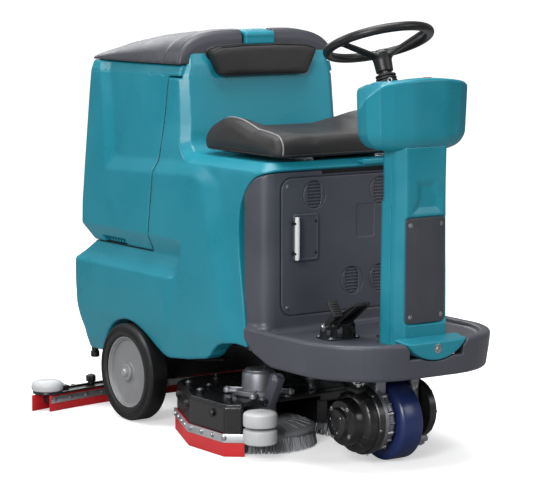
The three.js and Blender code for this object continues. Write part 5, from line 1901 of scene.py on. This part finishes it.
# ---------------------------------------------------------------- steering wheel
TILT = math.radians(-20)
WHEEL_AT = Vector((0, -822, 1176))
on_column = Matrix.Translation(WHEEL_AT) @ Matrix.Rotation(TILT, 4, "X")
SPOKES = [math.radians(d) for d in (65, 185, 305)]


def wheel_field(x, y, z):
    """Steering wheel about its own axis."""
    rho = np.hypot(x, y)
    rim = np.hypot(rho - 146, z) - F(13.0)
    shape = rint(rho - lerp(z, [-90, -86, -34, -24], [23.5, 24.5, 27.5, 21]), slab(z, -88, -24), 3.0)
    for a in SPOKES:
        u = x * math.cos(a) + y * math.sin(a)
        v = -x * math.sin(a) + y * math.cos(a)
        t = np.clip((u - 10) / 132, 0, 1)
        mid = -50 + 47 * t**0.9
        wide, thin = 15.0 - 3.5 * t, 5.4 - 0.4 * t
        bar = rint(rint(np.abs(v) - wide, (np.abs(z - mid) - thin) * 0.9, 5.0), slab(u, 0, 146), 4.0)
        shape = runi(shape, bar, 7.0)
    shape = runi(shape, rim, 6.0)
    cap = np.maximum(np.abs(rho - 17) - 0.7, F(-26.5) - z)
    shape = rcut(shape, cap, 0.6)
    return np.maximum(shape, -np.maximum(rho - 9.6, z + 44))


wheel_part = surface(wheel_field, (-160, -160, -90), (160, 160, 14), 2.7)
shell(
    "steering_wheel_rim", moved(wheel_part, on_column), black, "steering", ["steering_wheel"],
)
shaft = lathe([(0, -146), (8, -146), (9, -145), (9, -46), (0, -46)], 24)
piece("steering_shaft_rod", moved(shaft, on_column), steel, "steering", ["steering_shaft"])
folds = [(10.6, -137), (31, -137)]
for k in range(5):
    mid = -133 + 8.6 * k
    r = 31.5 - 0.5 * k
    folds += [(r - 6.5, mid - 3.4), (r - 1, mid - 2.4), (r, mid), (r - 1, mid + 2.4), (r - 6.5, mid + 3.4)]
folds += [(19, -91.5), (10.6, -91.5), (10.6, -137)]
piece(
    "steering_boot_bellows", moved(lathe(folds, 48), on_column), rubber, "chassis", ["steering_boot"],
    sharp=50
)

# ---------------------------------------------------------------- dash
DASH_Z = span("console_dash")[5]
KEY_AT = (-66, -960, DASH_Z)
STOP_AT = (66, -960, DASH_Z)


def dash_field(x, y, z):
    """Dash panel with its screen well and switch holes."""
    shape = rint(rrect(x, y, -104.5, 104.5, -1010.5, -915.5, 9), slab(z, 1052.8, DASH_Z), 2.5)
    screen = np.maximum(rrect(x, y, -36, 36, -994, -946, 5), DASH_Z - 2.4 - z)
    shape = rcut(shape, screen, 1.2)
    for at in (KEY_AT, STOP_AT):
        well = np.abs(disc(x, y, *at[:2], 24)) - 1.0
        shape = rcut(shape, np.maximum(well, DASH_Z - 0.9 - z), 0.5)
    hole = np.minimum(disc(x, y, *KEY_AT[:2], 10.6), disc(x, y, *STOP_AT[:2], 8.6))
    return np.maximum(shape, -hole)


shell(
    "dash_panel", surface(dash_field, (-106, -1012, 1052), (106, -914, DASH_Z + 1), 2.0, 1), black,
    "chassis", ["console_dash"]
)
piece("dash_screen", plate(rounded(-34, 34, -992, -948, 4, 4), "z", DASH_Z - 3.4, DASH_Z - 1.6, 0.5),
      glass, "chassis")
keys = []
for k in range(5):
    cx = -32 + 16 * k
    keys.append(plate(rounded(cx - 6, cx + 6, -940, -927, 2.5, 3), "z", DASH_Z - 1, DASH_Z + 2.2, 0.9))
piece("dash_keys", joined(*keys), mid_grey, "chassis")
rockers = []
for cx in (-84, 84):
    rockers.append(rbox(cx - 9, cx + 9, -1004, -982, DASH_Z - 1, DASH_Z + 1.2, 0.8))
    rockers.append(
        moved(
            rbox(-6.5, 6.5, -9, 9, -1, 4, 1.2),
            Matrix.Translation((cx, -993, DASH_Z + 0.6)) @ Matrix.Rotation(0.14, 4, "X")
        )
    )
piece("dash_rockers", joined(*rockers), painted_shade_and_switch_black, "chassis")
piece(
    "dash_bolts",
    joined(*[screw((x, y, DASH_Z), (0, 0, 1), 3.4) for x in (-98, 98) for y in (-921, -1004)]), zinc,
    "chassis"
)
barrel = lathe([(0, 4), (7, 4), (9, 3), (10, 1.5), (10, -11.5), (0, -11.5)], 36, KEY_AT)
bow = [
    (KEY_AT[0], KEY_AT[1] + 8.4 * math.cos(a), DASH_Z + 13 + 6.4 * math.sin(a))
    for a in np.linspace(0, 2 * math.pi, 25)[:-1]
]
key = joined(
    barrel, rbox(-67.1, -64.9, -963.5, -956.5, DASH_Z + 2.5, DASH_Z + 9, 0.5),
    tube(bow, 1.6, 8, closed=True)
)
piece("key_and_barrel", key, steel, "key", ["key_switch"])
cap = lathe(
    [(0, 17.4), (9, 17), (15, 15.4), (17.4, 12.6), (18, 9.5), (17, 7.4), (8, 7), (8, -5.6), (0, -5.6)], 48,
    STOP_AT
)
piece("stop_button_cap", cap, button_red, "stop", ["stop_button"])
collar = ring(
    [(9, 0), (20.5, 0), (20.5, 1.0), (18, 1.8), (12, 2.2), (9, 2.2)], 40, (*STOP_AT[:2], DASH_Z - 0.6)
)
piece("stop_button_collar", collar, mid_grey, "chassis")
collar = ring([(10.6, 0), (16, 0), (16, 1.6), (13, 3), (10.6, 3)], 40, (*KEY_AT[:2], DASH_Z - 0.6))
piece("key_collar", collar, zinc, "chassis")

# ---------------------------------------------------------------- pedals
base = span("pedal_base")
FLOOR_Z = base[4] - 0.6
PIN_Y, PIN_Z = -830, FLOOR_Z + 34
parts = [plate(rounded(-198, -90, -868, -796, 8, 3), "z", FLOOR_Z + 0.6, FLOOR_Z + 6, 1)]
lug = fillet(
    [
        (-846, FLOOR_Z + 4), (-814, FLOOR_Z + 4), (-818, FLOOR_Z + 38, 8), (-824, FLOOR_Z + 45, 8),
        (-836, FLOOR_Z + 45, 8), (-842, FLOOR_Z + 38, 8)
    ],
    3
)
parts += [plate(lug, "x", x, x + 4, 0.8) for x in (-196, -160, -96)]
piece("pedal_mount", joined(*parts), paint, "chassis", ["pedal_base"])
parts = [tube([(-200, PIN_Y, PIN_Z), (-88, PIN_Y, PIN_Z)], 4.6, 16)]
parts += [bolt((x, PIN_Y, PIN_Z), (d, 0, 0), 6.5) for x, d in ((-196, -1), (-92, 1))]
parts += [bolt((x, y, FLOOR_Z + 6), (0, 0, 1), 5) for x in (-190, -98) for y in (-860, -803)]
piece("pedal_pin", joined(*parts), zinc, "chassis")


folds = [(0, FLOOR_Z + 5), (17, FLOOR_Z + 5)]
for k in range(5):
    folds += [(12.5, FLOOR_Z + 8 + 5.5 * k), (17, FLOOR_Z + 10.7 + 5.5 * k)]
folds += [(10, FLOOR_Z + 35), (0, FLOOR_Z + 35)]
piece("pedal_bellows", lathe(folds, 30, (-126, -852, 0)), rubber, "chassis")


def tread(length, half, thick, ribs):
    """A ribbed treadle lying along +u, about its own origin."""
    parts = [rbox(0, length, -half, half, 0, thick, 2.2)]
    for k in range(ribs):
        u = 10 + (length - 20) * k / (ribs - 1)
        parts.append(rbox(u - 1.8, u + 1.8, -half + 5, half - 5, thick - 0.5, thick + 1.8, 0.8))
    parts.append(rbox(length - 4, length + 2, -half, half, -5, thick + 1, 2))
    return joined(*parts)


def pedal_frame(x, y, z, slope):
    """Matrix whose first axis climbs forward at a slope."""
    u = Vector((0, -math.cos(slope), math.sin(slope)))
    v = Vector((1, 0, 0))
    w = u.cross(v) * -1
    m = Matrix((u, v, w)).transposed().to_4x4()
    return Matrix.Translation((x, y, z)) @ m


go_line = fillet(
    [
        (-790, FLOOR_Z + 31, 3), (-786, FLOOR_Z + 38, 3), (-915, FLOOR_Z + 108, 4), (-921, FLOOR_Z + 99, 4),
        (-846, FLOOR_Z + 45, 8), (-842, FLOOR_Z + 27, 4), (-818, FLOOR_Z + 24, 4)
    ],
    3
)
parts = [plate(go_line, "x", x, x + 4, 0.8) for x in (-150, -106)]
slope = math.atan2(71, 129)
parts.append(moved(tread(142, 31, 5, 11), pedal_frame(-126, -787, FLOOR_Z + 36, slope)))
piece("drive_pedal_tread", joined(*parts), rubber, "go_pedal", ["drive_pedal"])
stop_line = fillet(
    [
        (-818, FLOOR_Z + 27, 3), (-818, FLOOR_Z + 48, 6), (-852, FLOOR_Z + 80, 6), (-868, FLOOR_Z + 66, 3),
        (-842, FLOOR_Z + 44, 6), (-842, FLOOR_Z + 27, 3)
    ],
    3
)
parts = [plate(stop_line, "x", -180, -172, 1)]
parts.append(moved(tread(50, 17, 8, 5), pedal_frame(-176, -872, FLOOR_Z + 66, math.radians(128))))
piece("brake_pedal_tread", joined(*parts), rubber, "stop_pedal", ["brake_pedal"])


# ---------------------------------------------------------------- floor, light and camera
bm = bmesh.new()
bmesh.ops.create_grid(bm, x_segments=8, y_segments=8, size=60)
floor_mesh = bpy.data.meshes.new("studio_floor")
bm.to_mesh(floor_mesh)
bm.free()
floor = bpy.data.objects.new("studio_floor", floor_mesh)
bpy.context.scene.collection.objects.link(floor)
floor_mat = bpy.data.materials.new("studio_floor")
floor_mat.use_nodes = True
nodes, link = floor_mat.node_tree.nodes, floor_mat.node_tree.links.new
paving = nodes["Principled BSDF"]
paving.inputs["Roughness"].default_value = 0.6
paving.inputs["Emission Color"].default_value = (1, 1, 1, 1)
seen_floor = nodes.new("ShaderNodeLightPath")
# Light bounces off a dim floor; the camera sees a pale one that brightens with distance.
tone = nodes.new("ShaderNodeMapRange")
tone.inputs[3].default_value = 0.3
tone.inputs[4].default_value = 0.9
link(seen_floor.outputs["Is Camera Ray"], tone.inputs[0])
link(tone.outputs[0], paving.inputs["Base Color"])
away = nodes.new("ShaderNodeVectorMath")
away.operation = "LENGTH"
link(nodes.new("ShaderNodeNewGeometry").outputs["Position"], away.inputs[0])
rise = nodes.new("ShaderNodeMapRange")
for place, value in enumerate((1.8, 7.0, 0.42, 0.85)):
    rise.inputs[place + 1].default_value = value
link(away.outputs["Value"], rise.inputs[0])
glow = nodes.new("ShaderNodeMapRange")
glow.inputs[3].default_value = 0.0
link(rise.outputs[0], glow.inputs[4])
link(seen_floor.outputs["Is Camera Ray"], glow.inputs[0])
link(glow.outputs[0], paving.inputs["Emission Strength"])
floor_mesh.materials.append(floor_mat)

world = bpy.data.worlds.new("studio")
bpy.context.scene.world = world
world.use_nodes = True
background = world.node_tree.nodes["Background"]
background.inputs["Color"].default_value = (1, 1, 1, 1)
seen = world.node_tree.nodes.new("ShaderNodeLightPath")
strength = world.node_tree.nodes.new("ShaderNodeMapRange")
strength.inputs[3].default_value = 0.3
strength.inputs[4].default_value = 1.05
world.node_tree.links.new(seen.outputs["Is Camera Ray"], strength.inputs[0])
world.node_tree.links.new(strength.outputs[0], background.inputs["Strength"])


def softbox(name, at, aim, size, power):
    """A rectangular light aimed at a point."""
    light = bpy.data.lights.new(name, "AREA")
    light.shape = "RECTANGLE"
    light.size, light.size_y = size
    light.energy = power
    ob = bpy.data.objects.new(name, light)
    ob.location = at
    ob.rotation_euler = (Vector(aim) - Vector(at)).to_track_quat("-Z", "Y").to_euler()
    bpy.context.scene.collection.objects.link(ob)


softbox("key", (-3.9, -2.9, 2.4), (0, 0, 0.7), (1.5, 2.6), 175)
softbox("top", (-0.2, -0.2, 4.0), (0, 0, 0.6), (2.4, 2.4), 150)
softbox("side", (-4.0, 2.5, 2.9), (-0.3, 0, 0.9), (1.2, 1.8), 52)
softbox("fill", (2.2, -4.6, 2.6), (0, -0.2, 0.6), (2.4, 1.6), 45)
softbox("back", (1.0, 4.0, 3.2), (0, 0, 0.6), (3.0, 2.0), 80)

camera_data = bpy.data.cameras.new("camera")
camera_data.lens = 156.52
camera_data.sensor_width = 36
camera_data.clip_end = 60
camera = bpy.data.objects.new("camera", camera_data)
camera.location = (-3.979, -5.635, 1.442)
camera.rotation_euler = (math.radians(82.75), 0, math.radians(-34.75))
bpy.context.scene.collection.objects.link(camera)
bpy.context.scene.camera = camera
bpy.context.scene.view_settings.view_transform = "Standard"
